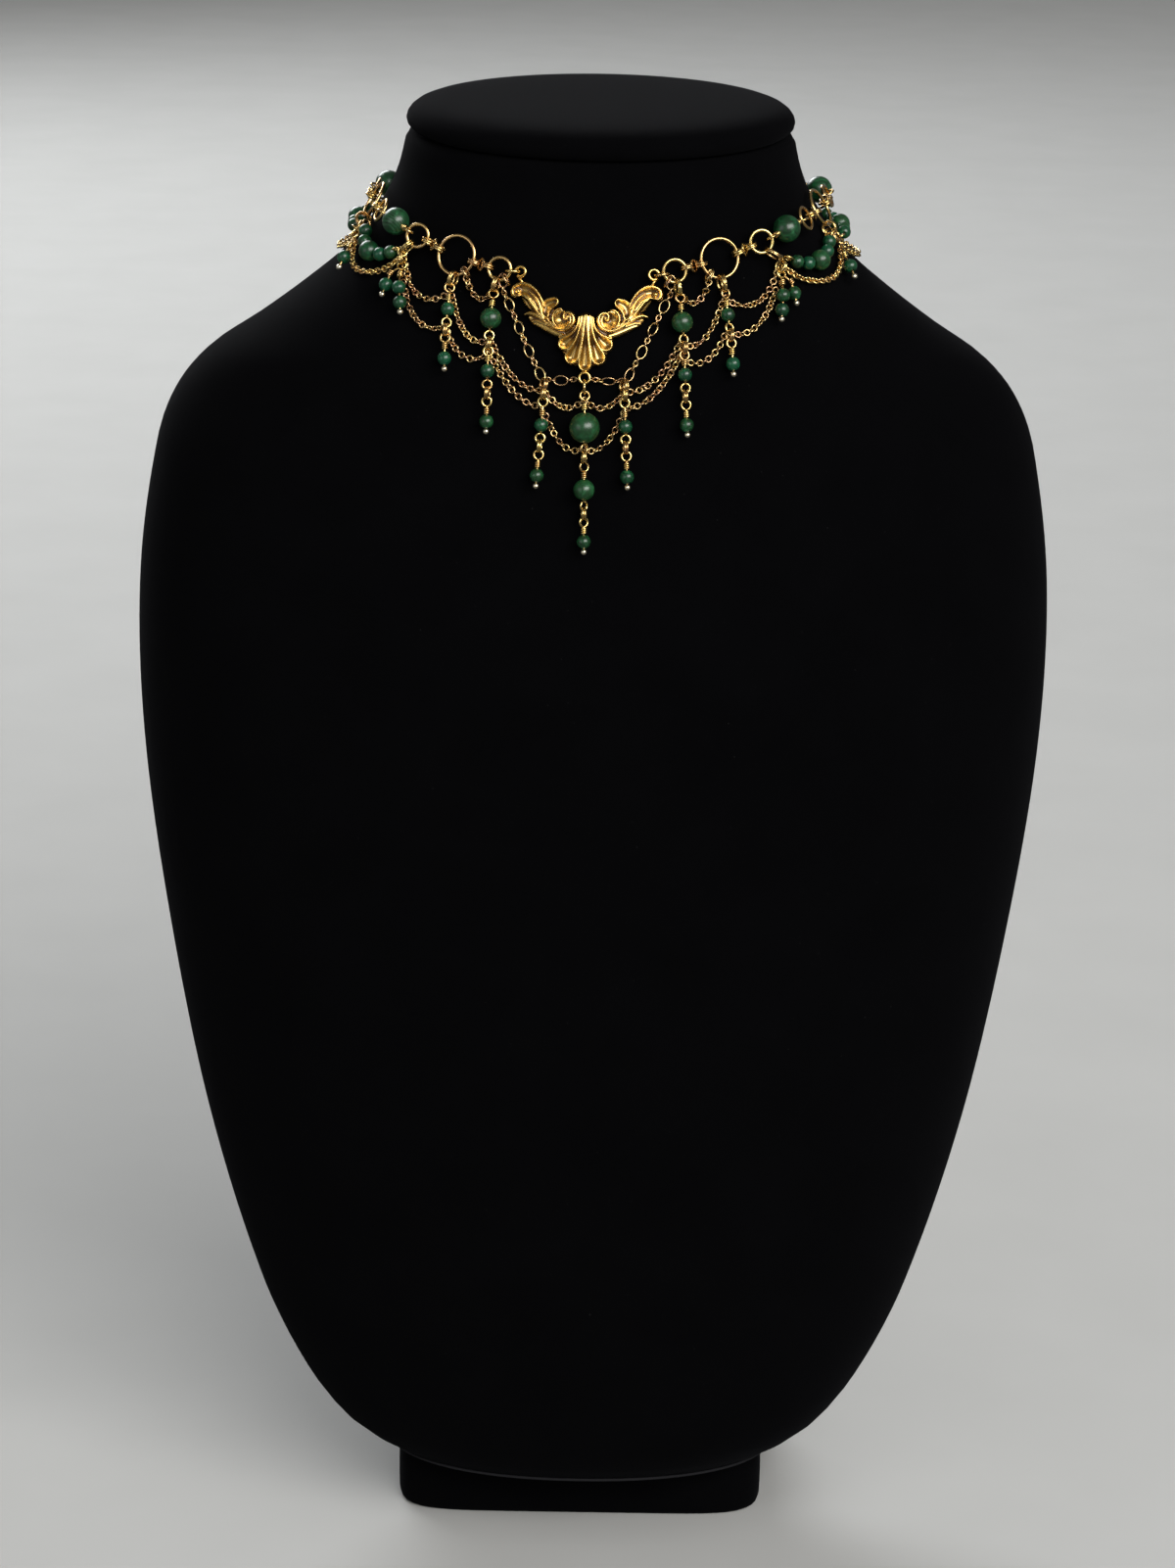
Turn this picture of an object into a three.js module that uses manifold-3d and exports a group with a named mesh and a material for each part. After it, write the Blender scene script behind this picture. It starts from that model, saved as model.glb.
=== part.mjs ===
// Choker necklace on a velvet neck bust, in millimetres, +Z up, the wearer's front towards -Y.
// The origin is in the middle of the base's underside, on the axis of the neck.
//
// The bust is a stack of oval sections. The necklace is laid out on its surface by two numbers:
// an angle round the neck from the necklace's own middle, and a height. A third number, the lift,
// says how far a piece's middle stands off the velvet.
import * as THREE from "three";
import { mergeVertices } from "three/addons/utils/BufferGeometryUtils.js";
import Module from "manifold-3d";

const wasm = await Module();
wasm.setup();

// ---- driving dimensions ---------------------------------------------------------------------

const GAP = 0.3; // between pieces that only touch
const NAP = 0.45; // between the velvet and what lies on it
const PLAY = 0.45; // round a wire inside an eye

// Bust: at each height the half width, the line of greatest width (its y), the depth in front of
// that line and behind it, and how square the oval is (2 is an ellipse).
const SECTIONS = [
  { z: 22, half: 61, mid: -26, front: 33, back: 23, square: 2.2 },
  { z: 32, half: 76, mid: -24, front: 40, back: 24, square: 2.2 },
  { z: 48, half: 89, mid: -20, front: 46, back: 24, square: 2.2 },
  { z: 75, half: 102, mid: -16, front: 53, back: 24, square: 2.2 },
  { z: 130, half: 118, mid: -12, front: 60, back: 24, square: 2.2 },
  { z: 190, half: 129, mid: -10, front: 63, back: 25, square: 2.2 },
  { z: 250, half: 136, mid: -9, front: 63, back: 27, square: 2.2 },
  { z: 300, half: 136.5, mid: -8, front: 59, back: 30, square: 2.2 },
  { z: 340, half: 131, mid: -6, front: 54, back: 34, square: 2.2 },
  { z: 356, half: 125, mid: -5, front: 51, back: 36, square: 2.1 },
  { z: 368, half: 115, mid: -4, front: 49.5, back: 38, square: 2.1 },
  { z: 378, half: 100, mid: -3, front: 48.5, back: 39, square: 2 },
  { z: 388, half: 86, mid: -1, front: 46.5, back: 40.5, square: 2 },
  { z: 398, half: 74, mid: 0, front: 45, back: 41, square: 2 },
  { z: 410, half: 65, mid: 0, front: 43.5, back: 41, square: 2 },
  { z: 421, half: 59.5, mid: 0, front: 41.5, back: 41, square: 2 },
  { z: 433, half: 56.5, mid: 0, front: 40, back: 40, square: 2 },
];
const SECTION_KEYS = ["half", "mid", "front", "back", "square"];
const BUST_ROWS = [22, 27, 35, 50, 75, 110, 155, 205, 255, 295, 325, 345, 358, 368, 376, 384, 392,
  400, 408, 417, 433];
const BUST_COLUMNS = 40;
const NECK_TILT = 0.1; // the neck's top rises this much per millimetre towards the back
const TILT_FROM = 412; // height where the sections start to lean with it

const CAP = { half: 56.9, depth: 40.4, thick: 8.5, columns: 32 };
// The cap's rounded edge: how far in from its widest outline, at which share of its thickness.
const CAP_EDGE = [
  { inset: 2.2, rise: 0 },
  { inset: 0.4, rise: 0.14 },
  { inset: 0, rise: 0.34 },
  { inset: 1.4, rise: 0.62 },
  { inset: 5.5, rise: 0.86 },
  { inset: 16, rise: 0.97 },
];

const BASE = { width: 116, front: -40, back: 34, height: 21.7, corner: 8, edge: 1.2 };

// Necklace hardware
const SLIP = 4; // degrees that the front of the necklace has slid round the neck
const RING_WIRE = 1.0;
const JUMP_WIRE = 0.8;
const SMALL_RING = 3.25; // radius of a ring to the middle of its wire
const LARGE_RING = 5.6;
const JUMP_RING = 1.7;
const CROSS_RING = 1.5; // the ring that links a connector's two pairs
const CONNECTOR_SPREAD = 4.26; // between the two outer pairs of a connector
// How far a ring's wire lies from the middle of the jump ring it hangs in
const HOOK_SLACK = JUMP_RING - JUMP_WIRE / 2 - RING_WIRE / 2 - PLAY;
const COIL_RADIUS = 0.85;
const SMALL_BEAD = 4;
const MIDDLE_BEAD = 6;
const LARGE_BEAD = 7.8;
const CENTRE_BEAD = 8.6;
const BEAD_BORE = 0.75;
const CHAIN_RADIUS = 0.7;
const CHAIN_LIFT = CHAIN_RADIUS + NAP;
const BACK_CHAIN_RADIUS = 1.1;
const SIDE_LIFT = CHAIN_LIFT + 0.4; // the side swags stand off a little more
const HANG_LIFT = 3.15; // middle of the drops
const ROW_LIFT = 2.95; // middle of the top row's rings
const STONE_LIFT = 5; // ends of the wires through the large beads

// Height of the top row's line round the neck
const ROW_LINE = [
  { v: 20, z: 397.2 },
  { v: 31, z: 399.5 },
  { v: 45, z: 402.1 },
  { v: 57, z: 406 },
  { v: 65, z: 408.3 },
  { v: 73, z: 410 },
  { v: 84, z: 411 },
  { v: 97, z: 411.5 },
  { v: 180, z: 411.5 },
];

const ROW_TILT = 0.5; // the row hangs this much higher on the right and lower on the left

// Members of the top row, outward from the ornament: the lift of each member's far end. The small
// links at the side of the neck are one solid, joined along their thread.
const ROW = [
  { kind: "jump", name: "jump_ring", lift: ROW_LIFT },
  { kind: "small", name: "small_ring_1", lift: ROW_LIFT },
  { kind: "connector", name: "connector_1", lift: ROW_LIFT },
  { kind: "large", name: "large_ring_1", lift: ROW_LIFT },
  { kind: "connector", name: "connector_2", lift: ROW_LIFT },
  { kind: "small", name: "small_ring_2", lift: STONE_LIFT },
  { kind: "stone", name: "row_wire_1", lift: STONE_LIFT },
  { kind: "small", name: "small_ring_3", lift: ROW_LIFT + 0.4, joined: true },
  { kind: "connector", name: "connector_3", lift: ROW_LIFT, joined: true },
  { kind: "large", name: "large_ring_2", lift: ROW_LIFT, joined: true },
  { kind: "connector", name: "connector_4", lift: ROW_LIFT + 0.4, joined: true },
  { kind: "small", name: "small_ring_4", lift: STONE_LIFT, joined: true },
  { kind: "stone", name: "row_wire_2", lift: STONE_LIFT },
];

// Drops. v is for the right-hand one of a pair, at the drop's top and foot; items go downward.
// Both feet of a pair swing lean degrees to the right, where the neck stands a little crooked.
// stone marks the gap where a bead of its own is threaded between two coils.
const DROPS = [
  {
    name: "drop_centre", top: { v: 0.1, z: 369 }, foot: { v: 1, z: 321.9 },
    hook: { ring: "foot_eye", turn: 0, single: true },
    items: [
      { kind: "eye", z: 365, lift: 3.4 },
      { kind: "coil", z: 361.9, lift: 4.9, stone: CENTRE_BEAD },
      { kind: "coil", z: 350.9, lift: 4.9 },
      { kind: "pair", z: 348.3, lift: 3.4 },
      { kind: "eye", z: 345.6 },
      { kind: "coil", z: 343.4, lift: 3.6, stone: MIDDLE_BEAD },
      { kind: "coil", z: 335.6, lift: 3.6 },
      { kind: "pair", z: 333.2 },
      { kind: "eye", z: 330.5 },
      { kind: "coil", z: 328 },
      { kind: "bead", z: 324.9 },
      { kind: "ball", z: 321.9 },
    ],
  },
  {
    name: "drop_1", top: { v: 12.9, z: 368 }, foot: { v: 13.5, z: 340.2 },
    items: [
      { kind: "eye", z: 368 },
      { kind: "eye", z: 363.2 },
      { kind: "coil", z: 360.2 },
      { kind: "bead", z: 356.9 },
      { kind: "eye", z: 353.2 },
      { kind: "pair", z: 351 },
      { kind: "eye", z: 348.5 },
      { kind: "coil", z: 346.2 },
      { kind: "bead", z: 343 },
      { kind: "ball", z: 340.2 },
    ],
  },
  {
    name: "drop_2", lean: 1.1, top: { v: 30.9, z: 392 }, foot: { v: 29.5, z: 354.6 },
    hook: { ring: "small_ring_1", turn: 12 },
    items: [
      { kind: "eye", z: 391.8 },
      { kind: "coil", z: 388.9, lift: 3.7, stone: MIDDLE_BEAD },
      { kind: "coil", z: 380.4, lift: 3.7 },
      { kind: "eye", z: 377.2, lift: 3.1 },
      { kind: "coil", z: 374.6 },
      { kind: "bead", z: 371.4 },
      { kind: "eye", z: 367.6 },
      { kind: "pair", z: 365.5 },
      { kind: "eye", z: 363 },
      { kind: "coil", z: 360.6 },
      { kind: "bead", z: 357.4 },
      { kind: "ball", z: 354.6 },
    ],
  },
  {
    name: "drop_3", lean: 1.2, top: { v: 43.8, z: 392.4 }, foot: { v: 41.4, z: 371.2 },
    hook: { ring: "large_ring_1", turn: 0 },
    items: [
      { kind: "eye", z: 392.4 },
      { kind: "coil", z: 389.7 },
      { kind: "bead", z: 386.5 },
      { kind: "eye", z: 382.7 },
      { kind: "eye", z: 379.2 },
      { kind: "coil", z: 376.8 },
      { kind: "bead", z: 373.9 },
      { kind: "ball", z: 371.2 },
    ],
  },
  {
    name: "drop_4", lean: 0.8, top: { v: 60.2, z: 400.4 }, foot: { v: 54.4, z: 384.2 },
    hook: { ring: "small_ring_2", turn: 40 },
    items: [
      { kind: "eye", z: 400.4 },
      { kind: "eye", z: 396.8 },
      { kind: "coil", z: 393.8, lift: 3.8 },
      { kind: "bead", z: 390.4, lift: 4.4 },
      { kind: "bead", z: 386.7, lift: 3.8 },
      { kind: "ball", z: 384.2 },
    ],
    rear: [
      { kind: "coil", v: 60.6, z: 394 },
      { kind: "bead", v: 60.2, z: 390.9 },
      { kind: "ball", v: 59.8, z: 388.3 },
    ],
  },
  {
    name: "drop_5", lean: 0.5, top: { v: 79.4, z: 401 }, foot: { v: 74.8, z: 392.2 },
    hook: { ring: "large_ring_2", turn: -18 },
    items: [
      { kind: "eye", z: 401.2, lift: 3.5 },
      { kind: "coil", z: 397.8, lift: 3.5 },
      { kind: "bead", z: 394.8, lift: 4 },
      { kind: "ball", z: 392.2, lift: 4 },
    ],
  },
];

// Where the fine chains are caught up, and how far each hangs below the straight line to the next
const UPPER_SWAGS = [
  { v: 0, z: 364.2, sag: 3.4 },
  { v: 12.9, z: 366.6, sag: 4 },
  { v: 29.9, z: 379.8, sag: 5 },
  { v: 43.6, z: 391.6, sag: 5 },
  { v: 58.9, z: 397.6, sag: 0 },
];
const LOWER_SWAGS = [
  { v: 0, z: 350.6, sag: 4.6 },
  { v: 13.4, z: 362.2, sag: 3.8 },
  { v: 29.8, z: 376.4, sag: 4.5 },
  { v: 42.6, z: 382.3, sag: 4.4 },
  { v: 57, z: 393, sag: 0 },
];
const SIDE_SWAGS = [
  { v: 61.8, z: 396.6, sag: 5 },
  { v: 81, z: 401, sag: 6.6 },
  { v: 106, z: 405, sag: 0 },
];
const TOP_SWAG_HOOK = { ring: "large_ring_1", turn: -38 };
const TOP_SWAG = [
  { v: 39, z: 393.8, sag: 2.2 },
  { v: 32.4, z: 391.6, sag: 0 },
];
const OVAL_CHAIN_HOOK = { ring: "small_ring_1", turn: -36 };
const OVAL_CHAIN = [
  { v: 28.2, z: 392.8, sag: 0 },
  { v: 13.6, z: 369.9, sag: 0.6 },
  { v: 3.1, z: 370.4, sag: 0 },
];
const STRANDS = [
  { near: { v: 61.9, z: 400.5, lift: 3.4 }, far: { v: 78.4, z: 404.8, lift: 2.8 }, sag: 4.2 },
  { near: { v: 81.9, z: 402.6, lift: 3.2 }, far: { v: 104, z: 406.8, lift: 2.8 }, sag: 1 },
];
const STRAND = {
  beads: [SMALL_BEAD, SMALL_BEAD, MIDDLE_BEAD, SMALL_BEAD, SMALL_BEAD],
  spacing: 0.15,
};

const CLASP = { length: 13, width: 6, thick: 3 };

// Ornament: half of its outline from the shell's top to the shell's foot, and its loops
const ORNAMENT = {
  z: 382.3, below: 12, above: 15, lift: 0.9, thick: 2.2, bend: 120, eye: 1.5, eyeRise: 1.9,
  topEye: { x: 19, y: 17.2 }, footEye: { x: 0, y: -12.6 },
  outline: [
    { x: 0, y: 4.6 }, { x: 3.2, y: 4.9 }, { x: 6.2, y: 7.2 }, { x: 8.2, y: 9.6 },
    { x: 10.6, y: 10 }, { x: 12.4, y: 7.8 }, { x: 13.6, y: 11.2 }, { x: 15.6, y: 14 },
    { x: 18.2, y: 15.6 }, { x: 20.8, y: 14.2 }, { x: 21.5, y: 11.4 }, { x: 19.6, y: 9 },
    { x: 16.4, y: 7.6 }, { x: 17.3, y: 5 }, { x: 15, y: 2.8 }, { x: 11.7, y: 0.9 },
    { x: 8, y: -0.4 }, { x: 7.4, y: -4.4 }, { x: 4.9, y: -5.4 }, { x: 5, y: -8.4 },
    { x: 2.6, y: -9.2 }, { x: 1.4, y: -11.2 }, { x: 0, y: -11.6 },
  ],
  domes: [
    { x: 6.6, y: 3.8, radius: 2.6, rise: 1.3 },
    { x: 9.9, y: 8.2, radius: 1.7, rise: 1 },
    { x: 18.6, y: 12, radius: 2.4, rise: 1.2 },
  ],
  shell: { x: 0, y: -2.5, width: 3.4, height: 7.6, rise: 1.6 },
};

// ---- materials --------------------------------------------------------------------------------

const velvet = () => new THREE.MeshStandardMaterial({ color: 0x0d0d0f, roughness: 1 });
const gold = () => new THREE.MeshStandardMaterial({ color: 0xc9963c, roughness: 0.3, metalness: 1 });
const stone = () => new THREE.MeshStandardMaterial({ color: 0x1f5a3c, roughness: 0.25 });

// ---- the bust's surface -----------------------------------------------------------------------

const rad = THREE.MathUtils.degToRad;

// A smooth value between the rows of a table sorted by one of its columns
function between(table, column, at, key) {
  const last = table.length - 1;
  const x = THREE.MathUtils.clamp(at, table[0][column], table[last][column]);
  let i = 0;
  while (i < last - 1 && table[i + 1][column] <= x) i += 1;
  const slope = (k) => {
    const a = table[Math.max(k - 1, 0)];
    const b = table[Math.min(k + 1, last)];
    return (b[key] - a[key]) / (b[column] - a[column]);
  };
  const [a, b] = [table[i], table[i + 1]];
  const step = b[column] - a[column];
  const t = (x - a[column]) / step;
  const rise = (2 * t - 3) * t * t;
  return (1 + rise) * a[key] - rise * b[key]
    + t * (t - 1) * step * ((t - 1) * slope(i) + t * slope(i + 1));
}

function sectionAt(z) {
  return Object.fromEntries(SECTION_KEYS.map((key) => [key, between(SECTIONS, "z", z, key)]));
}

// A point on the section at height z, in the direction turn (0 is the front, 90 is +X)
function bustPoint(turn, z) {
  const s = sectionAt(z);
  const [sin, cos] = [Math.sin(rad(turn)), Math.cos(rad(turn))];
  const depth = cos >= 0 ? s.front : s.back;
  const reach = (Math.abs(sin / s.half) ** s.square + Math.abs(cos / depth) ** s.square)
    ** (-1 / s.square);
  return new THREE.Vector3(reach * sin, s.mid - reach * cos, z);
}

// A place off the velvet: its point, and the outward, sideways and upward directions there
function place(v, z, lift) {
  const turn = v - SLIP * Math.cos(rad(v));
  const point = bustPoint(turn, z);
  const side = bustPoint(turn + 0.5, z).sub(bustPoint(turn - 0.5, z)).normalize();
  const rise = bustPoint(turn, z + 0.5).sub(bustPoint(turn, z - 0.5));
  const out = side.clone().cross(rise).normalize();
  return { point: point.addScaledVector(out, lift), out, side, up: out.clone().cross(side) };
}

const frameOf = (point, x, y, z) => new THREE.Matrix4().makeBasis(x, y, z).setPosition(point);
const placeFrame = (p) => frameOf(p.point, p.side, p.up, p.out);

// ---- solids -------------------------------------------------------------------------------------

// A closed geometry with shared vertices and its faces turned outward
function closed(geometry) {
  const bare = geometry.clone();
  bare.deleteAttribute("normal");
  bare.deleteAttribute("uv");
  const merged = mergeVertices(bare, 1e-4);
  const p = merged.attributes.position;
  const index = Array.from(merged.index.array);
  const [a, b, c] = [new THREE.Vector3(), new THREE.Vector3(), new THREE.Vector3()];
  const faces = [];
  let volume = 0;
  for (let i = 0; i < index.length; i += 3) {
    const [i0, i1, i2] = index.slice(i, i + 3);
    if (i0 === i1 || i1 === i2 || i2 === i0) continue;
    a.fromBufferAttribute(p, i0);
    b.fromBufferAttribute(p, i1);
    c.fromBufferAttribute(p, i2);
    volume += a.dot(b.cross(c));
    faces.push([i0, i1, i2]);
  }
  const turned = volume < 0 ? faces.map(([i0, i1, i2]) => [i0, i2, i1]) : faces;
  merged.setIndex(turned.flat());
  return merged;
}

function toSolid(geometry) {
  const shape = closed(geometry);
  return new wasm.Manifold(new wasm.Mesh({
    numProp: 3,
    vertProperties: new Float32Array(shape.attributes.position.array),
    triVerts: new Uint32Array(shape.index.array),
  }));
}

function joined(geometries) {
  const whole = geometries.map(toSolid).reduce((a, b) => a.add(b));
  const mesh = whole.getMesh();
  const geometry = new THREE.BufferGeometry();
  geometry.setAttribute("position", new THREE.BufferAttribute(mesh.vertProperties, 3));
  geometry.setIndex(new THREE.BufferAttribute(mesh.triVerts, 1));
  return geometry;
}

// Skin over a stack of rings of points, closed by a fan at each end
function loft(rings) {
  const count = rings[0].length;
  const middle = (ring) => ring.reduce((sum, p) => sum.add(p), new THREE.Vector3())
    .divideScalar(count);
  const points = [...rings.flat(), middle(rings[0]), middle(rings[rings.length - 1])];
  const index = [];
  const last = (rings.length - 1) * count;
  for (let i = 0; i < count; i += 1) {
    const j = (i + 1) % count;
    for (let row = 0; row < last; row += count) {
      index.push(row + i, row + j, row + count + j, row + i, row + count + j, row + count + i);
    }
    index.push(last + count, j, i, last + count + 1, last + i, last + j);
  }
  return new THREE.BufferGeometry().setFromPoints(points).setIndex(index);
}

const ring = (radius, wire, around, sides = 4) =>
  new THREE.TorusGeometry(radius, wire / 2, sides, around);

// Two jump rings side by side as one band, with its hole along Y
function pairBand(radius) {
  const [r, w] = [JUMP_WIRE / 2, JUMP_WIRE];
  const outline = [[r, -w], [r, w], [-r, w], [-r, -w], [r, -w]];
  const profile = outline.map(([x, y]) => new THREE.Vector2(radius + x, y));
  return new THREE.LatheGeometry(profile, 8);
}

const jumpRing = (radius) => ring(radius, JUMP_WIRE, 10).rotateX(Math.PI / 2);

// A bead with its bore along Y
function boredBead(diameter, around) {
  const radius = diameter / 2;
  const start = Math.asin(BEAD_BORE / radius);
  const steps = 5;
  const profile = [];
  for (let i = 0; i <= steps; i += 1) {
    const angle = start + (Math.PI - 2 * start) * (i / steps);
    profile.push(new THREE.Vector2(radius * Math.sin(angle), -radius * Math.cos(angle)));
  }
  profile.push(profile[0].clone());
  return new THREE.LatheGeometry(profile, around);
}

// A straight wire between two points
function rod(from, to, radius = JUMP_WIRE / 2, sides = 5) {
  const along = to.clone().sub(from);
  const turn = new THREE.Quaternion()
    .setFromUnitVectors(new THREE.Vector3(0, 1, 0), along.clone().normalize());
  return new THREE.CylinderGeometry(radius, radius, along.length(), sides)
    .applyQuaternion(turn)
    .translate(...from.clone().lerp(to, 0.5).toArray());
}

// A smooth line through points, whose even steps fall on the points themselves
class Route extends THREE.CatmullRomCurve3 {
  getPointAt(t, target) {
    return this.getPoint(t, target);
  }

  getTangentAt(t, target) {
    return this.getTangent(t, target);
  }

  getSpacedPoints(steps) {
    return this.getPoints(steps);
  }
}

// A tube of eight sides along a line of points
function tube(points, radius) {
  const section = new THREE.Shape(Array.from({ length: 8 }, (_, i) => {
    const turn = (i * Math.PI) / 4;
    return new THREE.Vector2(radius * Math.cos(turn), radius * Math.sin(turn));
  }));
  return new THREE.ExtrudeGeometry(section, {
    steps: points.length - 1,
    extrudePath: new Route(points, false, "centripetal"),
    bevelEnabled: false,
  });
}

// ---- bust, cap and base -------------------------------------------------------------------------

function bustForm() {
  const top = SECTIONS[SECTIONS.length - 1].z;
  const rings = BUST_ROWS.map((z) => {
    const lean = NECK_TILT * THREE.MathUtils.smoothstep(z, TILT_FROM, top);
    return Array.from({ length: BUST_COLUMNS }, (_, i) => {
      const point = bustPoint((360 * i) / BUST_COLUMNS, z);
      point.z += lean * point.y;
      return point;
    });
  });
  return loft(rings);
}

function neckCap() {
  const foot = SECTIONS[SECTIONS.length - 1].z + GAP;
  const rings = CAP_EDGE.map(({ inset, rise }) =>
    Array.from({ length: CAP.columns }, (_, i) => {
      const turn = rad((360 * i) / CAP.columns);
      const [x, y] = [(CAP.half - inset) * Math.sin(turn), -(CAP.depth - inset) * Math.cos(turn)];
      return new THREE.Vector3(x, y, foot + NECK_TILT * y + CAP.thick * rise);
    }));
  const dome = loft(rings);
  const middle = dome.attributes.position.count - 1;
  dome.attributes.position.setZ(middle, foot + CAP.thick);
  return dome;
}

function baseBlock() {
  const [w, f, b, r] = [BASE.width / 2 - BASE.edge, BASE.front + BASE.edge,
    BASE.back - BASE.edge, BASE.corner];
  const plan = new THREE.Shape();
  plan.moveTo(r - w, f);
  plan.lineTo(w - r, f);
  plan.absarc(w - r, f + r, r, -Math.PI / 2, 0);
  plan.lineTo(w, b - r);
  plan.absarc(w - r, b - r, r, 0, Math.PI / 2);
  plan.lineTo(r - w, b);
  plan.absarc(r - w, b - r, r, Math.PI / 2, Math.PI);
  plan.lineTo(-w, f + r);
  plan.absarc(r - w, f + r, r, Math.PI, 1.5 * Math.PI);
  return new THREE.ExtrudeGeometry(plan, {
    depth: BASE.height - 2 * BASE.edge,
    bevelThickness: BASE.edge,
    bevelSize: BASE.edge,
    bevelSegments: 1,
    curveSegments: 3,
  }).translate(0, 0, BASE.edge);
}

// ---- centre ornament ----------------------------------------------------------------------------

// The ornament bridges the hollow of the throat: it rests on two heights of the velvet
function restingFrame() {
  const foot = place(0, ORNAMENT.z - ORNAMENT.below, ORNAMENT.lift).point;
  const head = place(0, ORNAMENT.z + ORNAMENT.above, ORNAMENT.lift).point;
  const up = head.clone().sub(foot).normalize();
  const out = place(0, ORNAMENT.z, 0).side.cross(up).normalize();
  const middle = foot.addScaledVector(up, ORNAMENT.below / up.z);
  return frameOf(middle, up.clone().cross(out), up, out);
}

const ornamentFrame = restingFrame();
const ornamentBend = (x) => -(x * x) / (2 * ORNAMENT.bend);

function centreOrnament() {
  const half = ORNAMENT.outline;
  const left = half.slice(1, -1).reverse().map(({ x, y }) => ({ x: -x, y }));
  const plate = new THREE.ExtrudeGeometry(
    new THREE.Shape([...half, ...left].map(({ x, y }) => new THREE.Vector2(x, y))),
    { depth: ORNAMENT.thick, bevelEnabled: false },
  );
  const eye = (x, y) => ring(ORNAMENT.eye, JUMP_WIRE, 10).translate(x, y, ORNAMENT.eyeRise);
  const domeAt = ({ x, y, radius, rise }) => new THREE.SphereGeometry(1, 8, 4)
    .scale(radius, radius, rise).translate(x, y, ORNAMENT.thick);
  const { shell, topEye, footEye } = ORNAMENT;
  const pieces = [
    plate,
    new THREE.SphereGeometry(1, 10, 6).scale(shell.width, shell.height, shell.rise)
      .translate(shell.x, shell.y, ORNAMENT.thick),
    eye(footEye.x, footEye.y),
  ];
  for (const hand of [-1, 1]) {
    pieces.push(eye(hand * topEye.x, topEye.y));
    for (const dome of ORNAMENT.domes) pieces.push(domeAt({ ...dome, x: hand * dome.x }));
  }
  const whole = joined(pieces);
  const p = whole.attributes.position;
  for (let i = 0; i < p.count; i += 1) p.setZ(i, p.getZ(i) + ornamentBend(p.getX(i)));
  return whole.applyMatrix4(ornamentFrame);
}

// The outermost point of an ornament's top eye, where the top row starts
function rowStart(hand) {
  const x = ORNAMENT.topEye.x + ORNAMENT.eye;
  const z = ORNAMENT.eyeRise + ornamentBend(x);
  return new THREE.Vector3(hand * x, ORNAMENT.topEye.y, z).applyMatrix4(ornamentFrame);
}

// ---- top row ------------------------------------------------------------------------------------

const STONE_EYE = 1.5;
const STONE_COIL = 1;
const STONE_SLACK = STONE_EYE - JUMP_WIRE / 2 - RING_WIRE / 2 - PLAY;
const STONE_LENGTH = LARGE_BEAD + 2 * (STONE_COIL + STONE_EYE + STONE_SLACK);
const START_RING = 2;
const START_LENGTH = 2 * (START_RING - JUMP_WIRE / 2 - PLAY) - JUMP_WIRE / 2 - RING_WIRE / 2;
const MEMBER_LENGTH = {
  jump: START_LENGTH,
  small: 2 * SMALL_RING,
  large: 2 * LARGE_RING,
  connector: CONNECTOR_SPREAD + 2 * HOOK_SLACK,
  stone: STONE_LENGTH,
};

// A place on the top row's line, which leaves the ornament level
function rowPlace(hand, v, lift) {
  const tilt = ROW_TILT * THREE.MathUtils.smoothstep(v, 24, 34);
  return place(hand * v, between(ROW_LINE, "v", v, "z") + hand * tilt, lift);
}

// Ends of every member of one side's top row: each is one member's length on from the last
function rowMembers(hand) {
  let from = rowStart(hand);
  const reach = (tried, lift) => rowPlace(hand, tried, lift).point.distanceTo(from);
  let v = ROW_LINE[0].v;
  while (reach(v + 0.1, ROW_LIFT) < reach(v, ROW_LIFT)) v += 0.1;
  return ROW.map((member) => {
    const length = MEMBER_LENGTH[member.kind];
    let [low, high] = [v, v + 30];
    while (high - low > 1e-6) {
      const tried = (low + high) / 2;
      if (reach(tried, member.lift) < length) low = tried;
      else high = tried;
    }
    v = high;
    const end = rowPlace(hand, v, member.lift);
    const along = end.point.clone().sub(from).normalize();
    const across = end.out.clone().cross(along).normalize();
    const out = along.clone().cross(across);
    const middle = from.clone().lerp(end.point, 0.5);
    const result = { ...member, from, to: end.point, v, middle, along, out,
      frame: frameOf(middle, along, across, out) };
    from = end.point;
    return result;
  });
}

function connectorBody() {
  const half = CONNECTOR_SPREAD / 2;
  return joined([
    pairBand(JUMP_RING).translate(-half, 0, 0),
    pairBand(JUMP_RING).translate(half, 0, 0),
    ring(CROSS_RING, JUMP_WIRE, 6).rotateY(Math.PI / 4),
  ]);
}

function stoneLink() {
  const eyeAt = LARGE_BEAD / 2 + STONE_COIL + STONE_EYE;
  const pieces = [rod(new THREE.Vector3(-eyeAt + STONE_EYE, 0, 0),
    new THREE.Vector3(eyeAt - STONE_EYE, 0, 0))];
  for (const end of [-1, 1]) {
    const coil = new THREE.CylinderGeometry(COIL_RADIUS, COIL_RADIUS, STONE_COIL - GAP, 6)
      .rotateZ(Math.PI / 2)
      .translate(end * (LARGE_BEAD / 2 + GAP + (STONE_COIL - GAP) / 2), 0, 0);
    const eye = ring(STONE_EYE, JUMP_WIRE, 8).rotateX(Math.PI / 2).translate(end * eyeAt, 0, 0);
    pieces.push(coil, eye);
  }
  return joined(pieces);
}

// The metal of each kind of member, with its line along X and its outward side along Z
const ROW_BODIES = {
  jump: () => jumpRing(START_RING),
  small: () => ring(SMALL_RING, RING_WIRE, 14),
  large: () => ring(LARGE_RING, RING_WIRE, 18, 5),
  connector: connectorBody,
  stone: stoneLink,
};

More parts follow.
